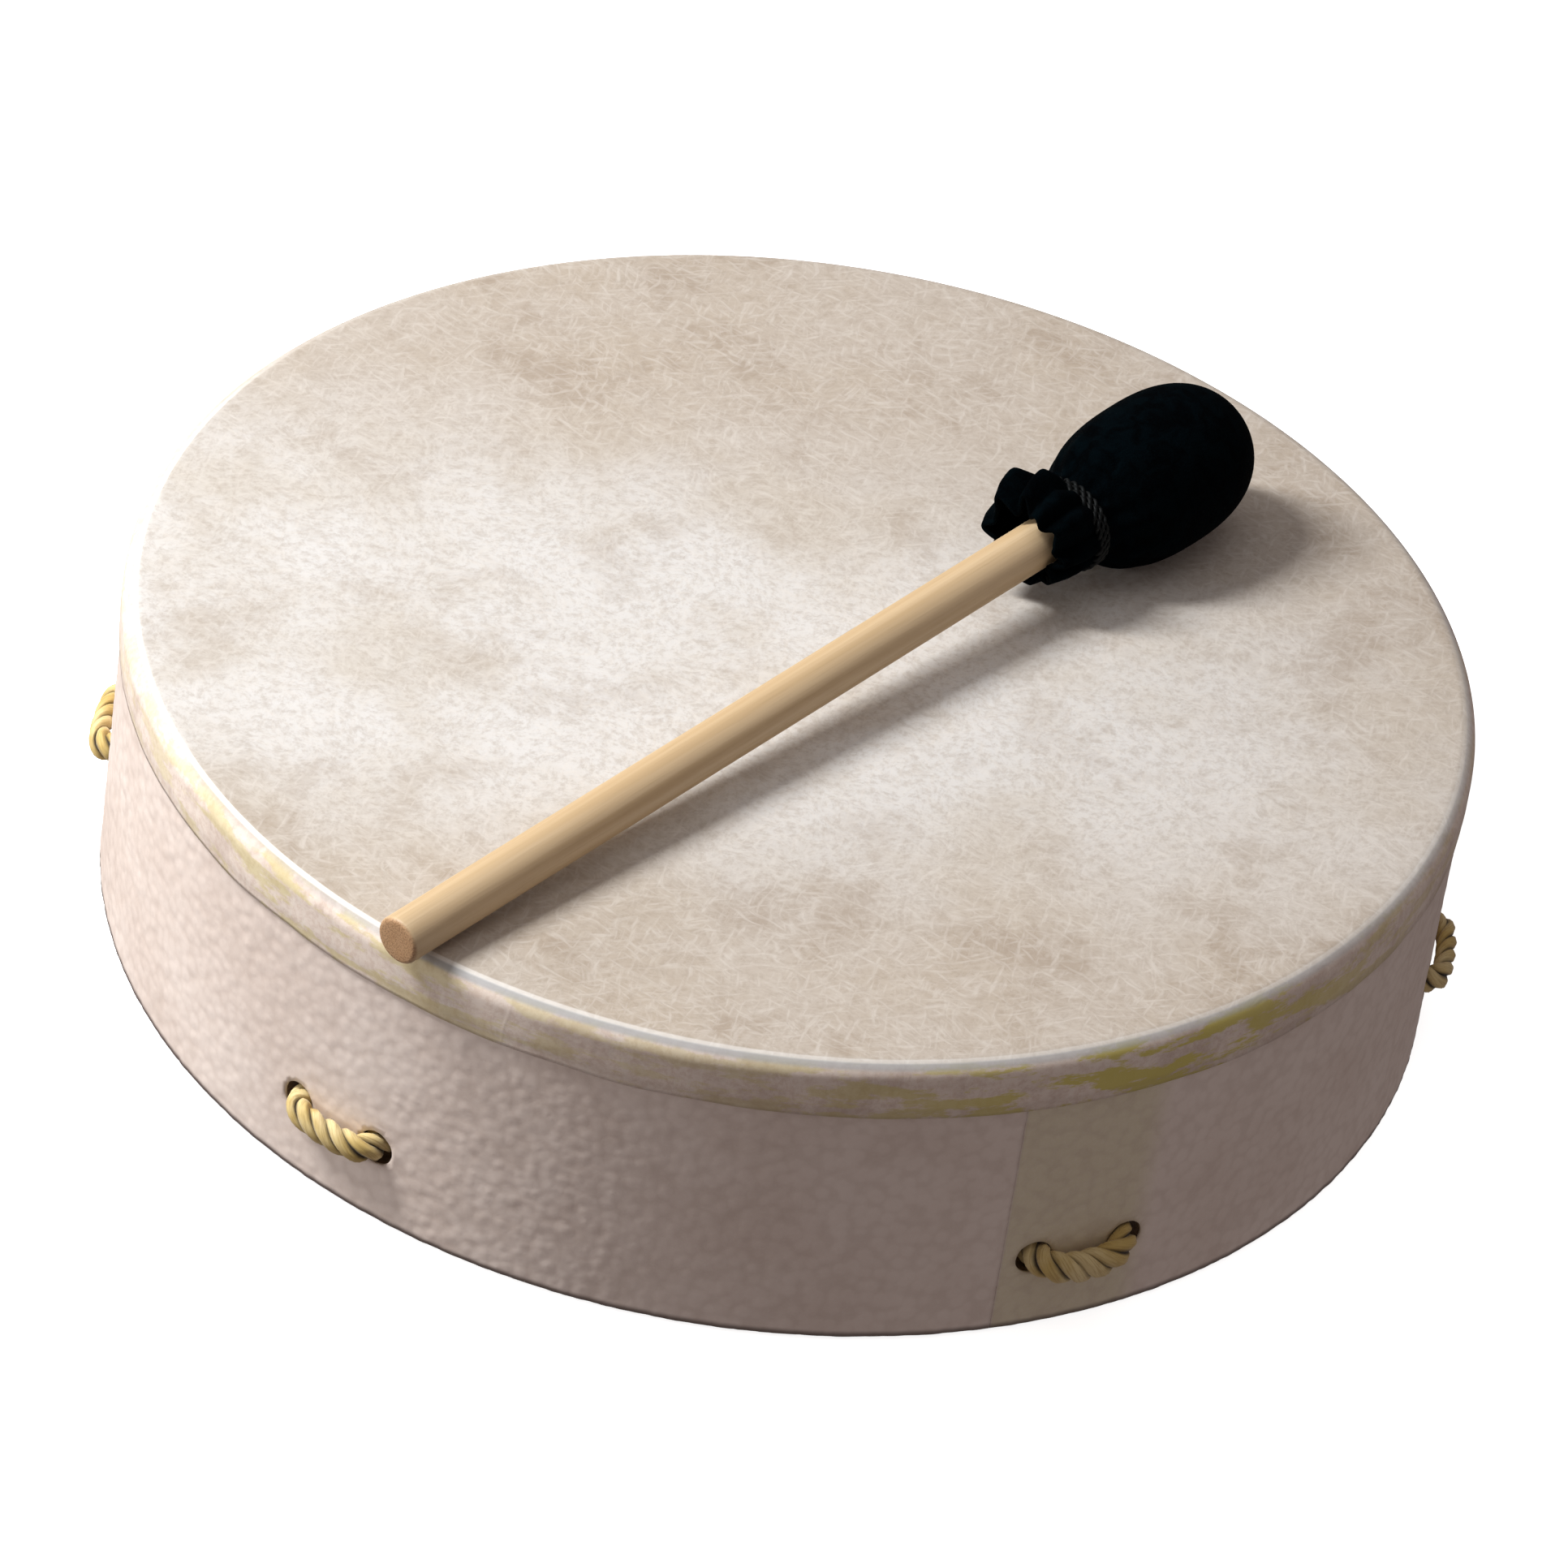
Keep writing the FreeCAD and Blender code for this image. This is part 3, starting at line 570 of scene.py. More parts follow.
class Line:
    """Points of a route with the lengths and the untwisted cross directions along it."""

    def __init__(self, points, cyclic=False):
        self.points = points
        self.lengths = np.concatenate([[0], np.cumsum(np.linalg.norm(np.diff(points, axis=0),
                                                                     axis=1))])
        ahead = np.gradient(points, axis=0)
        if cyclic:
            ahead[0] = ahead[-1] = points[1] - points[-2]
        ahead /= np.linalg.norm(ahead, axis=1)[:, None]
        side = np.cross(ahead[0], (0.0, 0.0, 1.0))
        if np.linalg.norm(side) < 0.1:
            side = np.cross(ahead[0], (1.0, 0.0, 0.0))
        sides = []
        for direction in ahead:
            side = side - direction * (side @ direction)
            side /= np.linalg.norm(side)
            sides.append(side)
        self.side = np.array(sides)
        self.over = np.cross(ahead, self.side)
        self.drift = 0.0
        if cyclic:
            self.drift = math.atan2(self.side[-1] @ self.over[0], self.side[-1] @ self.side[0])


def laid_rope(name, line, radius, pitch, material, first=0, last=None, strands=3, sections=24,
              swell=None, closed=False):
    """A rope of twisted strands along part of a line, each strand ridged by its own yarns."""
    last = len(line.points) if last is None else last
    span = slice(first, last)
    lengths = line.lengths[span]
    count = len(lengths)
    turns = round(line.lengths[-1] / pitch)
    twist = (math.tau * turns - line.drift) * lengths / line.lengths[-1]
    swell = np.ones(count) if swell is None else swell
    strand_radius = radius * STRAND_SHARE * swell
    offset = radius * STRAND_OFFSET * swell
    turn = np.arange(sections) / sections * math.tau
    yarn = np.cos(YARNS * turn[None, :] + lengths[:, None] * math.tau / (pitch * YARN_PITCH))
    radii = strand_radius[:, None] * (1 + YARN_RELIEF * yarn)
    points, faces, depth, along = [], [], [], []
    for strand in range(strands):
        phase = twist + strand * math.tau / strands
        outward = (np.cos(phase)[:, None] * line.side[span] + np.sin(phase)[:, None]
                   * line.over[span])
        centre = line.points[span] + outward * offset[:, None]
        ahead = np.gradient(centre, axis=0)
        ahead /= np.linalg.norm(ahead, axis=1)[:, None]
        side = outward - ahead * np.sum(outward * ahead, axis=1)[:, None]
        side /= np.linalg.norm(side, axis=1)[:, None]
        over = np.cross(ahead, side)
        rings = centre[:, None, :] + radii[..., None] * (
            np.cos(turn)[None, :, None] * side[:, None, :]
            + np.sin(turn)[None, :, None] * over[:, None, :])
        start = strand * count * sections
        points.append(rings.reshape(-1, 3))
        faces += [tuple(face) for face in grid_faces(count, sections, wrap_columns=True,
                                                     wrap_rows=closed, first=start)]
        if not closed:
            faces.append(tuple(range(start + sections - 1, start - 1, -1)))
            faces.append(tuple(range(start + (count - 1) * sections, start + count * sections)))
        gap = np.linalg.norm(rings - line.points[span][:, None, :], axis=2)
        depth.append((gap / (radius * swell[:, None])).ravel())
        along.append(np.stack(np.broadcast_arrays(
            lengths[:, None] + strand, strand_radius[:, None] * np.cos(turn)[None, :],
            strand_radius[:, None] * np.sin(turn)[None, :]), axis=-1).reshape(-1, 3))
    piece = new_piece(name, np.concatenate(points), faces, material)
    note(piece, "depth", np.concatenate(depth))
    note(piece, "along", np.concatenate(along))
    return piece


def turned(place, azimuth):
    """A point given as outward, sideways and up from a direction round the drum's axis."""
    outward, sideways, up = place
    return (outward * math.cos(azimuth) - sideways * math.sin(azimuth),
            outward * math.sin(azimuth) + sideways * math.cos(azimuth), up)


# How each stitch lies outside the shell: how far it sags, stands out and swells.
STITCH_LIES = ((0.4, 0.3, 1.0), (0.6, 0.5, 1.05), (0.3, 0.2, 1.0),
               (0.8, 0.4, 1.05), (0.5, 0.6, 1.08), (2.2, 1.2, 1.22))


def stitch_route(azimuth, sag, stand, height):
    """Control points of one stitch, out of one hole and into the next."""
    route = []
    for outward, sideways, drop in ((160, 12.6, 0), (171, 12.2, 0), (177.6, 12.0, 0),
                                    (181.0, 10.4, 0.35), (181.5, 6.0, 0.8), (181.6, 2.0, 1.0)):
        lift = stand if drop > 0.5 else 0
        route.append(((outward + lift) * MM, -sideways * MM, height - drop * sag * MM))
    route += [(outward, -sideways, up) for outward, sideways, up in reversed(route)]
    return [turned(place, azimuth) for place in route]


def loop_route(azimuth, half_gap, ring_radius, height):
    """Control points of one loop: out of a hole, under the grip ring, round it and back."""
    reach = RING_TUBE + ROPE_RADIUS + 0.1 * MM
    step = ROPE_RADIUS * 1.3
    outer = ring_radius + 1.5 * MM
    inner = ring_radius - reach
    mouth_angle = half_gap - math.asin(HOLE_OFFSET / ROPE_MOUTH)
    mouth = ROPE_MOUTH * math.cos(mouth_angle), ROPE_MOUTH * math.sin(mouth_angle)

    def strand(share):
        return (outer + share * (mouth[0] - outer), step + share * (mouth[1] - step))

    half = [(inner - 0.6 * MM, step * 0.55, reach * 0.85),
            (ring_radius - 3 * MM, step * 0.8, reach * 1.12),
            (outer + 3 * MM, step, reach * 1.05),
            (*strand(0.12), reach * 0.75),
            (*strand(0.42), 2 * MM)]
    route = [(outward, -sideways, height - up) for outward, sideways, up in reversed(half)]
    route.append((inner - 1.2 * MM, 0, height))
    route += [(outward, sideways, height + up) for outward, sideways, up in half]
    return [turned(place, azimuth) for place in route]


def press_on_shell(piece):
    """Flatten the rope where it is pulled tight over the outside of the shell."""
    places = points_of(piece.data)
    radial = np.hypot(places[:, 0], places[:, 1])
    proud = np.maximum(radial - COVER_RADIUS, 0)
    places[:, :2] *= (1 - proud * (1 - ROPE_FLATNESS) / radial)[:, None]
    move_points(piece, places)


def lacing():
    """The handle rope: one line laced through all the holes, cut where the nodes are cut."""
    controls = []
    for pair, (sag, stand, _) in enumerate(STITCH_LIES):
        azimuth = PAIR_AZIMUTHS[pair]
        half_gap = (PAIR_AZIMUTHS[(pair + 1) % len(PAIR_AZIMUTHS)] - azimuth) % math.tau / 2
        controls += stitch_route(azimuth, sag, stand, ROPE_HEIGHT)
        controls += loop_route(azimuth + half_gap, half_gap, RING_RADIUS, ROPE_HEIGHT)
    points = curve_points(controls, cyclic=True)[:-1]
    radial = np.hypot(points[:, 0], points[:, 1])
    mouth = math.hypot(ROPE_MOUTH, HOLE_OFFSET)
    outside = radial > mouth
    entry = np.flatnonzero(outside & ~np.roll(outside, 1))
    azimuths = np.arctan2(points[entry, 1], points[entry, 0]) - PAIR_AZIMUTHS[0]
    start = entry[np.argmin(np.abs((azimuths + math.pi) % math.tau - math.pi))]
    points = np.roll(points, -start, axis=0)
    outside = np.roll(outside, -start)
    line = Line(np.concatenate([points, points[:1]]), cyclic=True)
    cuts = np.flatnonzero(outside != np.roll(outside, 1)).tolist() + [len(points)]
    for number, (first, last) in enumerate(zip(cuts, cuts[1:])):
        kind = ("stitch", "loop")[number % 2]
        pair = number // 2
        count = last + 1 - first
        swell = np.ones(count)
        if kind == "stitch":
            swell += (STITCH_LIES[pair][2] - 1) * np.sin(np.linspace(0, math.pi, count)) ** 2
        piece = laid_rope(f"lacing_{kind}_{pair + 1}", line, ROPE_RADIUS, ROPE_PITCH,
                          MATERIALS["rope"], first, last + 1, swell=swell)
        press_on_shell(piece)
        finish_piece(piece, "drum", "rope", f"rope_{kind}_{pair + 1}")
    return line


def ring_points(radius, height, count, start=0.0, end=math.tau):
    """Points along a level circle, or a part of one, round the drum's axis."""
    angles = np.linspace(start, end, count)
    return np.stack([radius * np.cos(angles), radius * np.sin(angles),
                     np.full(count, height)], axis=-1)


def grip_ring():
    """A grommet: one strand laid round on itself three times."""
    line = Line(ring_points(RING_RADIUS, ROPE_HEIGHT, 301), cyclic=True)
    piece = laid_rope("grip_ring_grommet", line, RING_TUBE, 24 * MM, MATERIALS["rope"], last=300,
                      closed=True)
    finish_piece(piece, "drum", "rope", "grip_ring")


def coil_points(line, radius, turns, per_turn=28):
    """A helix round a line."""
    count = round(turns * per_turn) + 1
    share = np.linspace(0, 1, count)
    where = share * (len(line.points) - 1)
    base = np.arange(len(line.points))

    def along(values):
        return np.stack([np.interp(where, base, values[:, axis]) for axis in range(3)], axis=-1)

    phase = share * turns * math.tau
    return (along(line.points) + radius * (np.cos(phase)[:, None] * along(line.side)
                                           + np.sin(phase)[:, None] * along(line.over)))


def ring_binding():
    """Waxed twine wound side by side over the joint of the grommet."""
    low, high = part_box("ring_binding")
    middle = math.atan2((low.y + high.y) / 2, (low.x + high.x) / 2)
    half_angle = math.radians(17)
    line = Line(ring_points(RING_RADIUS, ROPE_HEIGHT, 60, middle - half_angle,
                            middle + half_angle))
    twine = 0.66 * MM
    turns = line.lengths[-1] / (2 * twine)
    winding = Line(coil_points(line, RING_TUBE + twine * 0.8, turns))
    piece = laid_rope("grip_ring_whipping", winding, twine, 3.2 * MM, MATERIALS["twine"],
                      strands=2, sections=8)
    finish_piece(piece, "drum", "twine", "ring_binding")


def lacing_knot(line):
    """The rope's two ends, hitched round a strand of the lacing."""
    low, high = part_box("rope_end_knot")
    centre = (low + high) / 2
    middle = int(np.argmin(np.linalg.norm(line.points - np.array(centre), axis=1)))
    around = Line(line.points[middle - 9:middle + 10])
    turns = coil_points(around, ROPE_RADIUS * 1.95, 2.2, per_turn=10)
    tail = 14 * MM
    first, last = turns[0] - turns[1], turns[-1] - turns[-2]
    ends = [first / np.linalg.norm(first) * tail, last / np.linalg.norm(last) * tail]
    lift = np.array((0, 0, 4 * MM))
    controls = [turns[0] + ends[0] + lift, turns[0] + ends[0] * 0.5, *turns,
                turns[-1] + ends[1] * 0.5, turns[-1] + ends[1] + lift]
    piece = laid_rope("lacing_end_knot", Line(curve_points(controls)), ROPE_RADIUS * 0.92,
                      ROPE_PITCH, MATERIALS["rope"])
    finish_piece(piece, "drum", "rope", "rope_end_knot")


# ---------------------------------------------------------------- beater
def beater_place():
    """The turn and the start of a frame on the handle's bare end, with its Z along the handle."""
    places = points_of(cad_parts["beater_handle"].data)
    middle = places.mean(axis=0)
    axis = Vector(np.linalg.svd(places - middle, full_matrices=False)[2][0])
    head = Vector(points_of(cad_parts["beater_core"].data).mean(axis=0))
    if axis.dot(head - Vector(middle)) < 0:
        axis = -axis
    along = (places - middle) @ np.array(axis)
    tip = Vector(middle) + axis * along.min()
    upright = Vector((0, 0, 1)) - axis * axis.z
    upright.normalize()
    across = axis.cross(upright)
    return np.array(Matrix((upright, across, axis)).transposed()), np.array(tip)


def in_beater(points):
    """Points of the beater's own frame, in the frame of the drum."""
    return np.asarray(points) @ BEATER_TURN.T + BEATER_TIP


def extent(node):
    """Start, end and largest radius of a node along the beater's axis."""
    local = (points_of(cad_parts[node].data) - BEATER_TIP) @ BEATER_TURN
    return local[:, 2].min(), local[:, 2].max(), np.hypot(local[:, 0], local[:, 1]).max()


def lathe(name, starts, radii, segments, material, shape=None):
    """Rings round the beater's axis, with closed ends; shape may move the points about."""
    angles = np.arange(segments) / segments * math.tau
    reach = np.repeat(np.asarray(radii)[:, None], segments, axis=1)
    where = np.repeat(np.asarray(starts)[:, None], segments, axis=1)
    if shape is not None:
        reach, where = shape(reach, where, angles)
    local = np.stack([reach * np.cos(angles), reach * np.sin(angles), where], axis=-1)
    rows = len(radii)
    faces = [tuple(face) for face in grid_faces(rows, segments, wrap_columns=True)]
    faces.append(tuple(range(segments - 1, -1, -1)))
    faces.append(tuple(range((rows - 1) * segments, rows * segments)))
    flat = local.reshape(-1, 3)
    piece = new_piece(name, in_beater(flat), faces, material)
    note(piece, "local", flat)
    return piece


def wood_look(graph):
    """Sanded pale hardwood with long fine pores, browner on its end grain."""
    local = graph.noted("local", vector=True)
    pores = graph.noise(graph.place("MULTIPLY", local, (1, 1, 0.03)), 0.7 * MM, detail=4,
                        roughness=0.6)
    growth = graph.noise(graph.place("MULTIPLY", local, (1, 1, 0.02)), 3.2 * MM, detail=3)
    colour = graph.mix(graph.band(growth, 0.35, 0.65), tone(207, 182, 145), tone(195, 167, 127))
    colour = graph.mix(graph.band(pores, 0.5, 0.75, 0.0, 0.3), colour, tone(174, 146, 110))
    start = graph.add("ShaderNodeSeparateXYZ", {0: local}).outputs[2]
    grain = graph.noise(local, 0.45 * MM, detail=3)
    end = graph.mix(graph.band(grain, 0.4, 0.65), tone(190, 148, 110), tone(140, 100, 66))
    colour = graph.mix(graph.band(start, 0.1 * MM, 1.0 * MM, 0.8, 0.0), colour, end)
    return {"Base Color": colour, "Roughness": graph.band(pores, 0.3, 0.7, 0.42, 0.58),
            "Normal": graph.bump(pores, 0.08 * MM, 0.5)}


def beater_dowel():
    """The handle: a dowel with a softened end, very slightly out of true."""
    start, end, radius = extent("beater_handle")
    turn = np.linspace(0, math.pi / 2, 6)
    edge_radii = radius - BEATER_EDGE * (1 - np.sin(turn))
    edge_places = BEATER_EDGE * (1 - np.cos(turn))
    places = np.concatenate([[0, 0], edge_places, np.linspace(3 * MM, end - start, 160)])
    radii = np.concatenate([[1 * MM, 3.4 * MM], edge_radii, np.full(160, radius)])

    def turned_wood(reach, where, angles):
        wave = np.array([[noise.noise(Vector((0.9 * math.cos(angle), 0.9 * math.sin(angle),
                                              row[0] / (34 * MM)))) for angle in angles]
                         for row in where])
        return reach * (1 + 0.006 * wave), where

    piece = lathe("beater_dowel", places, radii, 56, MATERIALS["wood"], turned_wood)
    finish_piece(piece, "beater", "handle_wood", "beater_handle")


def fleece_look(graph):
    """Black napped cloth with a cold tint."""
    place = graph.object_place()
    nap = graph.noise(place, 0.7 * MM, detail=4, roughness=0.7)
    lie = graph.noise(place, 5 * MM, detail=3, roughness=0.6, distortion=0.6)
    colour = graph.mix(graph.band(lie, 0.35, 0.68), tone(0, 1, 2), tone(1, 6, 9))
    colour = graph.mix(graph.band(nap, 0.5, 0.75, 0.0, 0.5), colour, tone(2, 11, 15))
    relief = graph.math("ADD", nap, graph.math("MULTIPLY", lie, 1.4))
    return {"Base Color": colour, "Normal": graph.bump(relief, 0.5 * MM, 0.7)}


def felt_look(graph):
    """Grey wool felt."""
    nap = graph.noise(graph.object_place(), 1.1 * MM, detail=4, roughness=0.7)
    colour = graph.mix(graph.band(nap, 0.4, 0.65), tone(176, 170, 160), tone(146, 140, 130))
    return {"Base Color": colour, "Normal": graph.bump(nap, 0.4 * MM, 0.6)}


def cord_look(graph):
    """Black waxed cord with a painted highlight: greyer where it stands up into the light."""
    fine = graph.noise(graph.noted("along", vector=True), 0.35 * MM, detail=3)
    # Painted highlight and shade: greyer on the strands' crowns, darkest down in the grooves.
    colour = graph.mix(graph.band(graph.noted("depth"), 0.6, 0.95), tone(0, 1, 1),
                       tone(2, 6, 7))
    colour = graph.mix(graph.band(fine, 0.5, 0.75, 0.0, 0.25), colour, tone(22, 30, 32))
    return {"Base Color": colour, "Normal": graph.bump(fine, 0.1 * MM, 0.6)}


def egg_radius(places):
    """Radius of the padded head along the axis: blunt at its end, longer towards the neck."""
    centre = PAD_END - PAD_FRONT
    run = np.where(places < centre, PAD_BACK, PAD_FRONT)
    share = np.minimum(np.abs(places - centre) / run, 1)
    return PAD_RADIUS * (1 - share ** 2.5) ** 0.4


def fold_wave(angles, counts, seed):
    """Uneven pleats round the axis, from about -1 to 1."""
    chance = np.random.default_rng(seed)
    wave = sum(np.cos(count * angles + chance.uniform(0, math.tau)) for count in counts)
    return wave / len(counts) * 1.6


def rest_on_head(points, gap=0.25 * MM):
    """Flatten what would go through the playing face, as the soft pad does by its weight."""
    points[:, 2] = np.maximum(points[:, 2], HEAD_TOP + gap)
    return points


def sagged(points):
    """The soft pad hangs a little below the handle's axis."""
    along = (points - BEATER_TIP) @ BEATER_TURN[:, 2]
    points[:, 2] -= PAD_SAG * smooth_step(NECK_END - 3 * MM, NECK_END + 16 * MM, along)
    return points


def swell_cloth(piece, held, most):
    """Puff the cloth out with the cloth solver and keep the result, no point moved too far."""
    rest = points_of(piece.data)
    group = piece.vertex_groups.new(name="held")
    group.add([int(number) for number in held], 1.0, "REPLACE")
    cloth = piece.modifiers.new("swell", "CLOTH")
    cloth.settings.use_pressure = True
    cloth.settings.uniform_pressure_force = 4
    cloth.settings.effector_weights.gravity = 0
    cloth.settings.vertex_group_mass = "held"
    cloth.settings.bending_stiffness = 0.6
    for number in range(1, SWELL_FRAMES + 1):
        scene.frame_set(number)
    settled = piece.evaluated_get(bpy.context.evaluated_depsgraph_get())
    shift = points_of(settled.data) - rest
    piece.modifiers.remove(cloth)
    piece.vertex_groups.remove(group)
    scene.frame_set(1)
    far = np.linalg.norm(shift, axis=1)
    shift *= (np.minimum(far, most) / np.maximum(far, 1e-9))[:, None]
    move_points(piece, rest + shift)


def beater_head():
    """Cloth drawn over the padding and gathered at the neck."""
    segments = 144
    share = np.linspace(0, 1, 64) ** 0.9
    places = GATHER_MIDDLE + (PAD_END - GATHER_MIDDLE) * np.sin(share * math.pi / 2)
    places[-1] = PAD_END - 0.02 * MM
    radii = np.where(places > NECK_END, egg_radius(places), GATHER_RADIUS)
    radii[places <= NECK_END] = GATHER_RADIUS + (NECK_RADIUS - GATHER_RADIUS) * smooth_step(
        GATHER_MIDDLE, NECK_END, places[places <= NECK_END])

    def gathered(reach, where, angles):
        folds = fold_wave(angles, (9, 13, 17), 3)
        fade = np.exp(-np.maximum(where - GATHER_MIDDLE, 0) / (9 * MM))
        return reach + 0.9 * MM * fade * folds[None, :], where

    piece = lathe("beater_head_cloth", places, radii, segments, MATERIALS["fleece"], gathered)
    held = np.flatnonzero(np.repeat(places < NECK_END, segments))
    swell_cloth(piece, held, 0.8 * MM)
    move_points(piece, rest_on_head(sagged(points_of(piece.data))))
    piece.modifiers.new("smooth", "SUBSURF").levels = 1
    finish_piece(piece, "beater", "fleece", "beater_cover")


def beater_skirt():
    """The cloth's free end below the tie: a short frill, standing up on its far side."""
    segments = 220
    rows = 26
    share = np.linspace(0, 1, rows)
    angles = np.arange(segments) / segments * math.tau
    pleats = fold_wave(angles, (8, 11, 14), 11)
    far_side = 0.5 + 0.5 * np.cos(angles - FAR_SIDE)
    length = SKIRT_LENGTH * (0.9 + 0.05 * far_side + 0.05 * fold_wave(angles, (4, 7), 5))
    high = np.interp(share, (0, 0.15, 0.45, 0.75, 1.0), (0, 2.8, 7.0, 5.2, 2.4)) * MM
    low = np.interp(share, (0, 0.2, 0.5, 1.0), (0, 0.4, 0.2, -1.2)) * MM
    swing = low[:, None] + (high - low)[:, None] * (far_side ** 1.5)[None, :]
    depth = np.interp(share, (0, 0.2, 0.6, 1.0), (0.9, 1.7, 2.4, 2.4)) * MM
    depth = depth[:, None] * (0.6 + 0.4 * far_side)[None, :]
    reach = GATHER_RADIUS - 0.4 * MM + swing + depth * pleats[None, :]
    reach = np.maximum(reach, HANDLE_RADIUS + 1.1 * MM)
    where = GATHER_MIDDLE - share[:, None] * length[None, :]
    local = np.stack([reach * np.cos(angles), reach * np.sin(angles), where], axis=-1)
    points = rest_on_head(in_beater(local.reshape(-1, 3)))
    faces = grid_faces(rows, segments, wrap_columns=True)[:, ::-1]
    piece = new_piece("beater_skirt_cloth", points, faces, MATERIALS["fleece"])
    solid = piece.modifiers.new("thickness", "SOLIDIFY")
    solid.thickness = 1.3 * MM
    solid.offset = 0
    piece.modifiers.new("smooth", "SUBSURF").levels = 1
    finish_piece(piece, "beater", "fleece", "beater_cover")


def beater_padding():
    """Felt padding inside the cloth."""
    start, end, _ = extent("beater_core")
    places = np.linspace(start, end, 30)
    radii = np.maximum(egg_radius(places + 1.5 * MM) - 2.6 * MM, 1 * MM)
    piece = lathe("beater_padding", places, radii, 60, MATERIALS["felt"])
    move_points(piece, rest_on_head(sagged(points_of(piece.data)), CLOTH_AND_GAP))
    finish_piece(piece, "beater", "padding", "beater_core")


def beater_tie():
    """Cord wound three times round the gathers, knotted, one end hanging."""
    start, end, radius = extent("beater_tie")
    cord = 1.1 * MM
    turns = 3
    angles = np.linspace(math.radians(200), math.radians(200) + turns * math.tau, 61)
    places = np.linspace(start + cord, end - cord, len(angles))
    reach = np.full(len(angles), radius - cord)
    local = np.stack([reach * np.cos(angles), reach * np.sin(angles), places], axis=-1)
    last = local[-1]
    knot = [last + np.array(step) * MM for step in
            ((-1.5, -2.5, 0.5), (-3.5, -1.5, -2.0), (-3.0, 1.5, -3.5), (-1.0, 0.5, -1.5),
             (-3.5, -2.5, -1.0), (-6.0, -3.5, -3.0), (-9.0, -4.0, -5.5))]
    piece = laid_rope("beater_tie_cord", Line(curve_points(in_beater(np.concatenate(
        [local, knot])), step=0.5 * MM)), cord, 5 * MM, MATERIALS["tie"], strands=2, sections=12)
    finish_piece(piece, "beater", "tie_cord", "beater_tie")


# ---------------------------------------------------------------- studio
def area_lamp(name, place, sides, watts):
    """A rectangular lamp that points at the middle of the playing face."""
    lamp = bpy.data.lights.new(name, "AREA")
    lamp.shape = "RECTANGLE"
    lamp.size, lamp.size_y = sides
    lamp.energy = watts
    light = bpy.data.objects.new(name, lamp)
    light.location = place
    light.rotation_euler = (Vector((0, 0, HEAD_TOP)) - light.location).to_track_quat(
        "-Z", "Y").to_euler()
    scene.collection.objects.link(light)
    return light


def floor_look(graph):
    """Pale paper that glows evenly, except in the dark inside the hoop."""
    place = graph.object_place()
    colour = graph.mix(graph.noise(place, 2.0), tone(240, 240, 240), tone(243, 243, 243))
    reach = graph.add("ShaderNodeVectorMath", {0: place}, operation="LENGTH").outputs["Value"]
    glow = graph.band(reach, HOOP_RADIUS - 4 * MM, HOOP_RADIUS - 2 * MM, 0.0, 0.85)
    return {"Base Color": colour, "Emission Strength": glow}


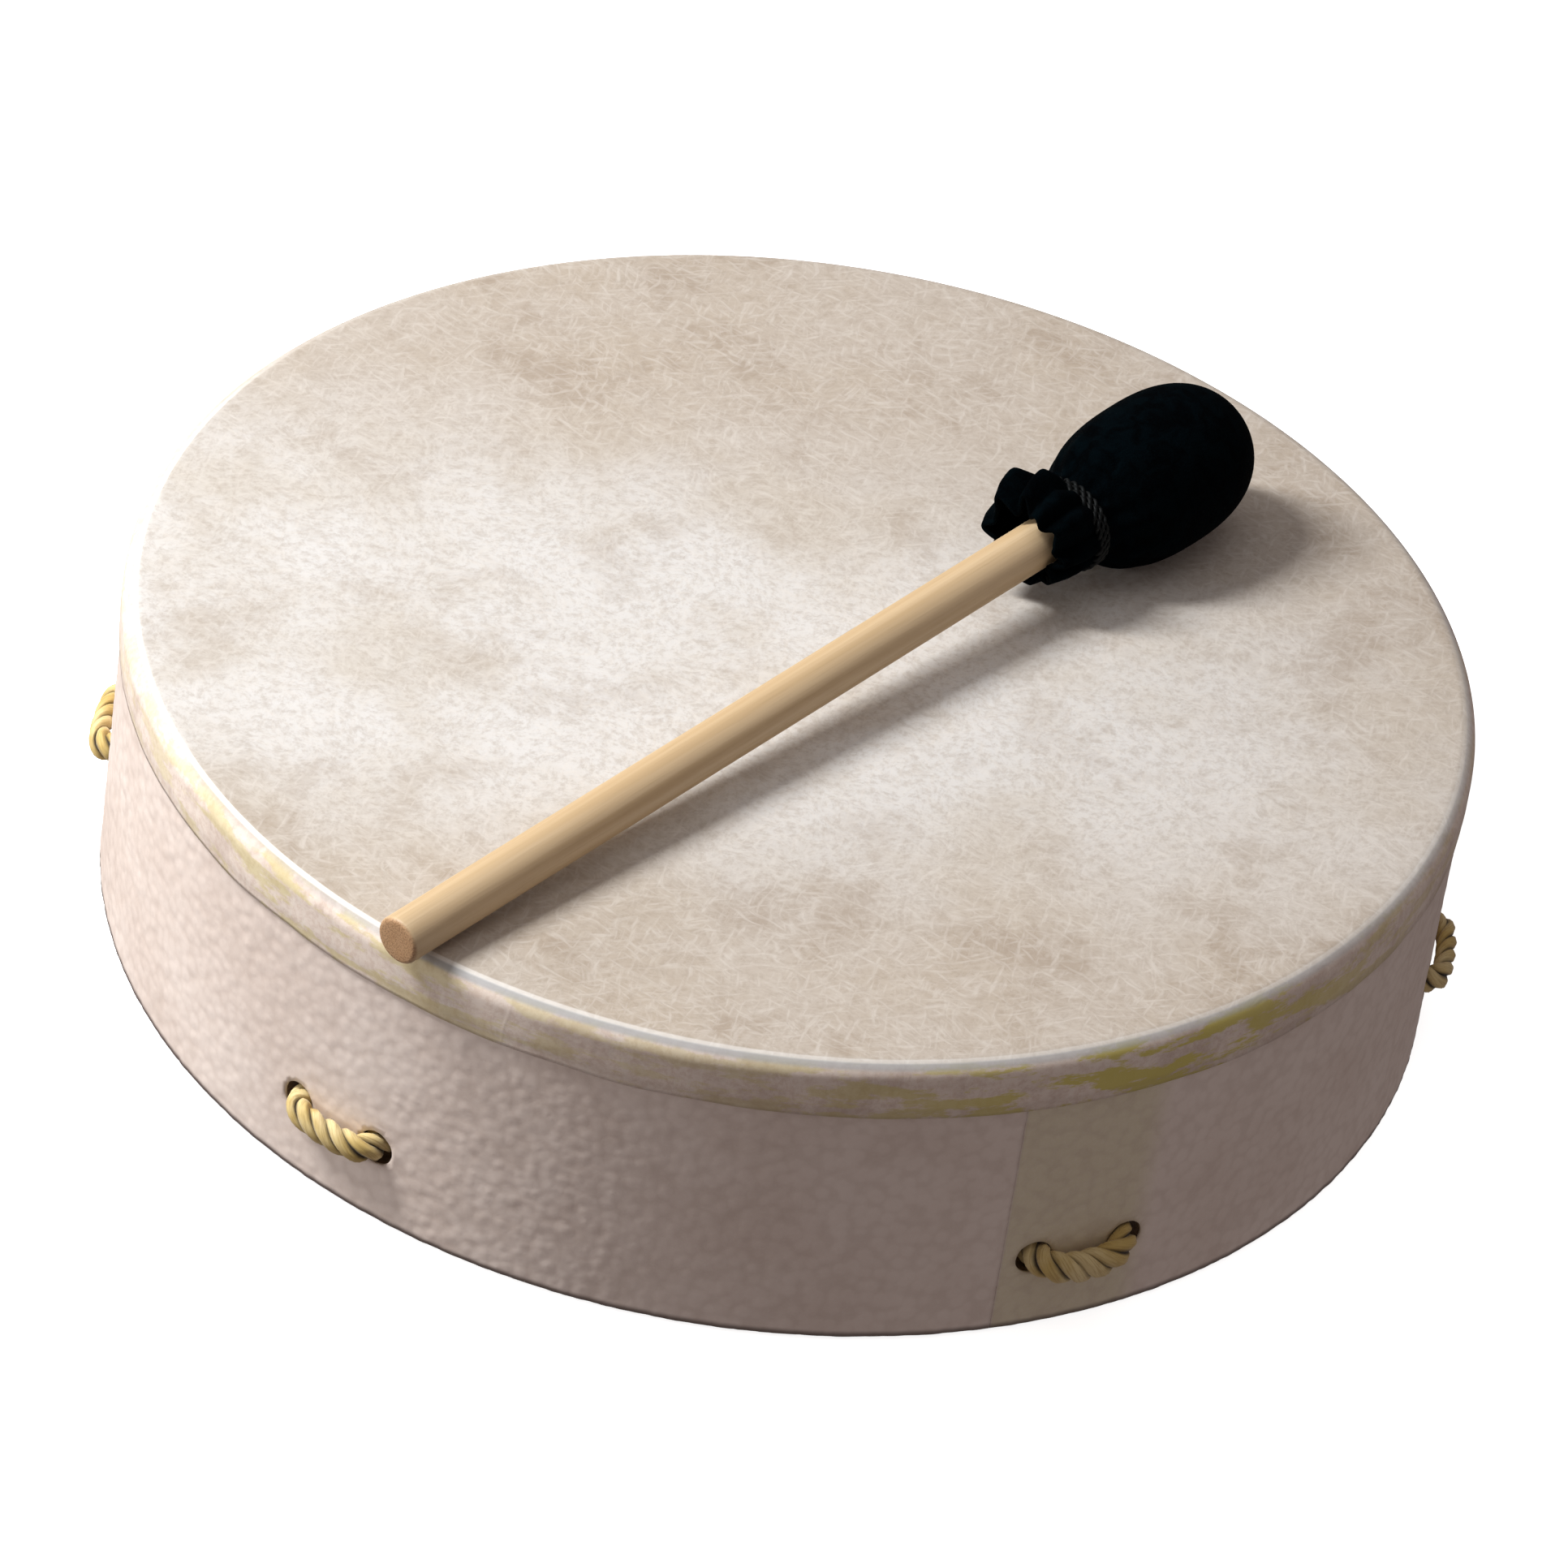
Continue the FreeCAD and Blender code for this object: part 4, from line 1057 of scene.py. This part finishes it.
def studio():
    """A white floor, one clear tall light from the left, two weak ones and a warm sky."""
    floor_material = new_material("studio_floor", floor_look, Roughness=0.9,
                                  Emission_Color=(1, 1, 1, 1))
    corners = [(x * STUDIO_HALF, y * STUDIO_HALF, 0)
               for x, y in ((-1, -1), (1, -1), (1, 1), (-1, 1))]
    floor = new_piece("studio_floor", corners, [(0, 1, 2, 3)], floor_material)
    floor.visible_diffuse = False
    floor.visible_glossy = False
    area_lamp("key", (-1.0, -0.02, 1.3), (0.2, 0.66), 30)
    side_fill = area_lamp("side_fill", (-1.48, -0.13, 0.31), (0.9, 0.5), 9.5)
    side_fill.visible_glossy = False
    area_lamp("overhead", (0, 0.01, 1.95), (1.5, 1.5), 4.8)
    world = bpy.data.worlds.new("studio")
    world.use_nodes = True
    world.node_tree.nodes["Background"].inputs["Color"].default_value = (1, 0.87, 0.85, 1)
    world.node_tree.nodes["Background"].inputs["Strength"].default_value = 0.22
    scene.world = world
    scene.view_settings.view_transform = "Standard"


def camera():
    """A long lens from the front, a little above, held slightly askew."""
    place = Vector((0, -1.98008, 1.52882))
    target = Vector((0.0007, 0, 0.04))
    lens = bpy.data.cameras.new("camera")
    lens.sensor_width = 36
    lens.lens = 215.47
    item = bpy.data.objects.new("camera", lens)
    item.location = place
    item.rotation_mode = "QUATERNION"
    roll = Quaternion((0, 0, 1), math.radians(8.74))
    item.rotation_quaternion = (target - place).to_track_quat("-Z", "Y") @ roll
    scene.collection.objects.link(item)
    scene.camera = item


# ---------------------------------------------------------------- make everything
camera()
fibre_group()
MATERIALS = {
    "film": new_material("fibre_film", parchment, Specular_IOR_Level=0.25),
    "covering": new_material("embossed_covering", covering_look, Specular_IOR_Level=0.4),
    "hoop": new_material("fibreboard", fibreboard_look),
    "glue": new_material("dried_glue", glue_look, Roughness=0.35),
    "rope": new_material("laid_rope", rope_look, Sheen_Weight=0.2),
    "twine": new_material("waxed_twine", rope_look, Sheen_Weight=0.1),
    "wood": new_material("pale_hardwood", wood_look),
    "fleece": new_material("black_fleece", fleece_look, Roughness=0.95,
                           Specular_IOR_Level=0.02),
    "felt": new_material("felt_padding", felt_look, Roughness=0.95),
    "tie": new_material("waxed_black_cord", cord_look, Roughness=0.6,
                        Specular_IOR_Level=0.2),
}
for node, material in (("shell_hoop", "hoop"), ("collar_adhesive", "glue")):
    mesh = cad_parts[node].data
    mesh.materials.clear()
    mesh.materials.append(MATERIALS[material])

BEATER_TURN, BEATER_TIP = beater_place()
HANDLE_RADIUS = extent("beater_handle")[2]
TIE_START, TIE_END, TIE_RADIUS = extent("beater_tie")
GATHER_MIDDLE = (TIE_START + TIE_END) / 2
GATHER_RADIUS = TIE_RADIUS - 2.2 * MM
NECK_END = TIE_END + 1 * MM

drumhead_film()
covering_sheet()
lacing_line = lacing()
grip_ring()
ring_binding()
lacing_knot(lacing_line)
beater_dowel()
beater_head()
beater_skirt()
beater_padding()
beater_tie()
studio()
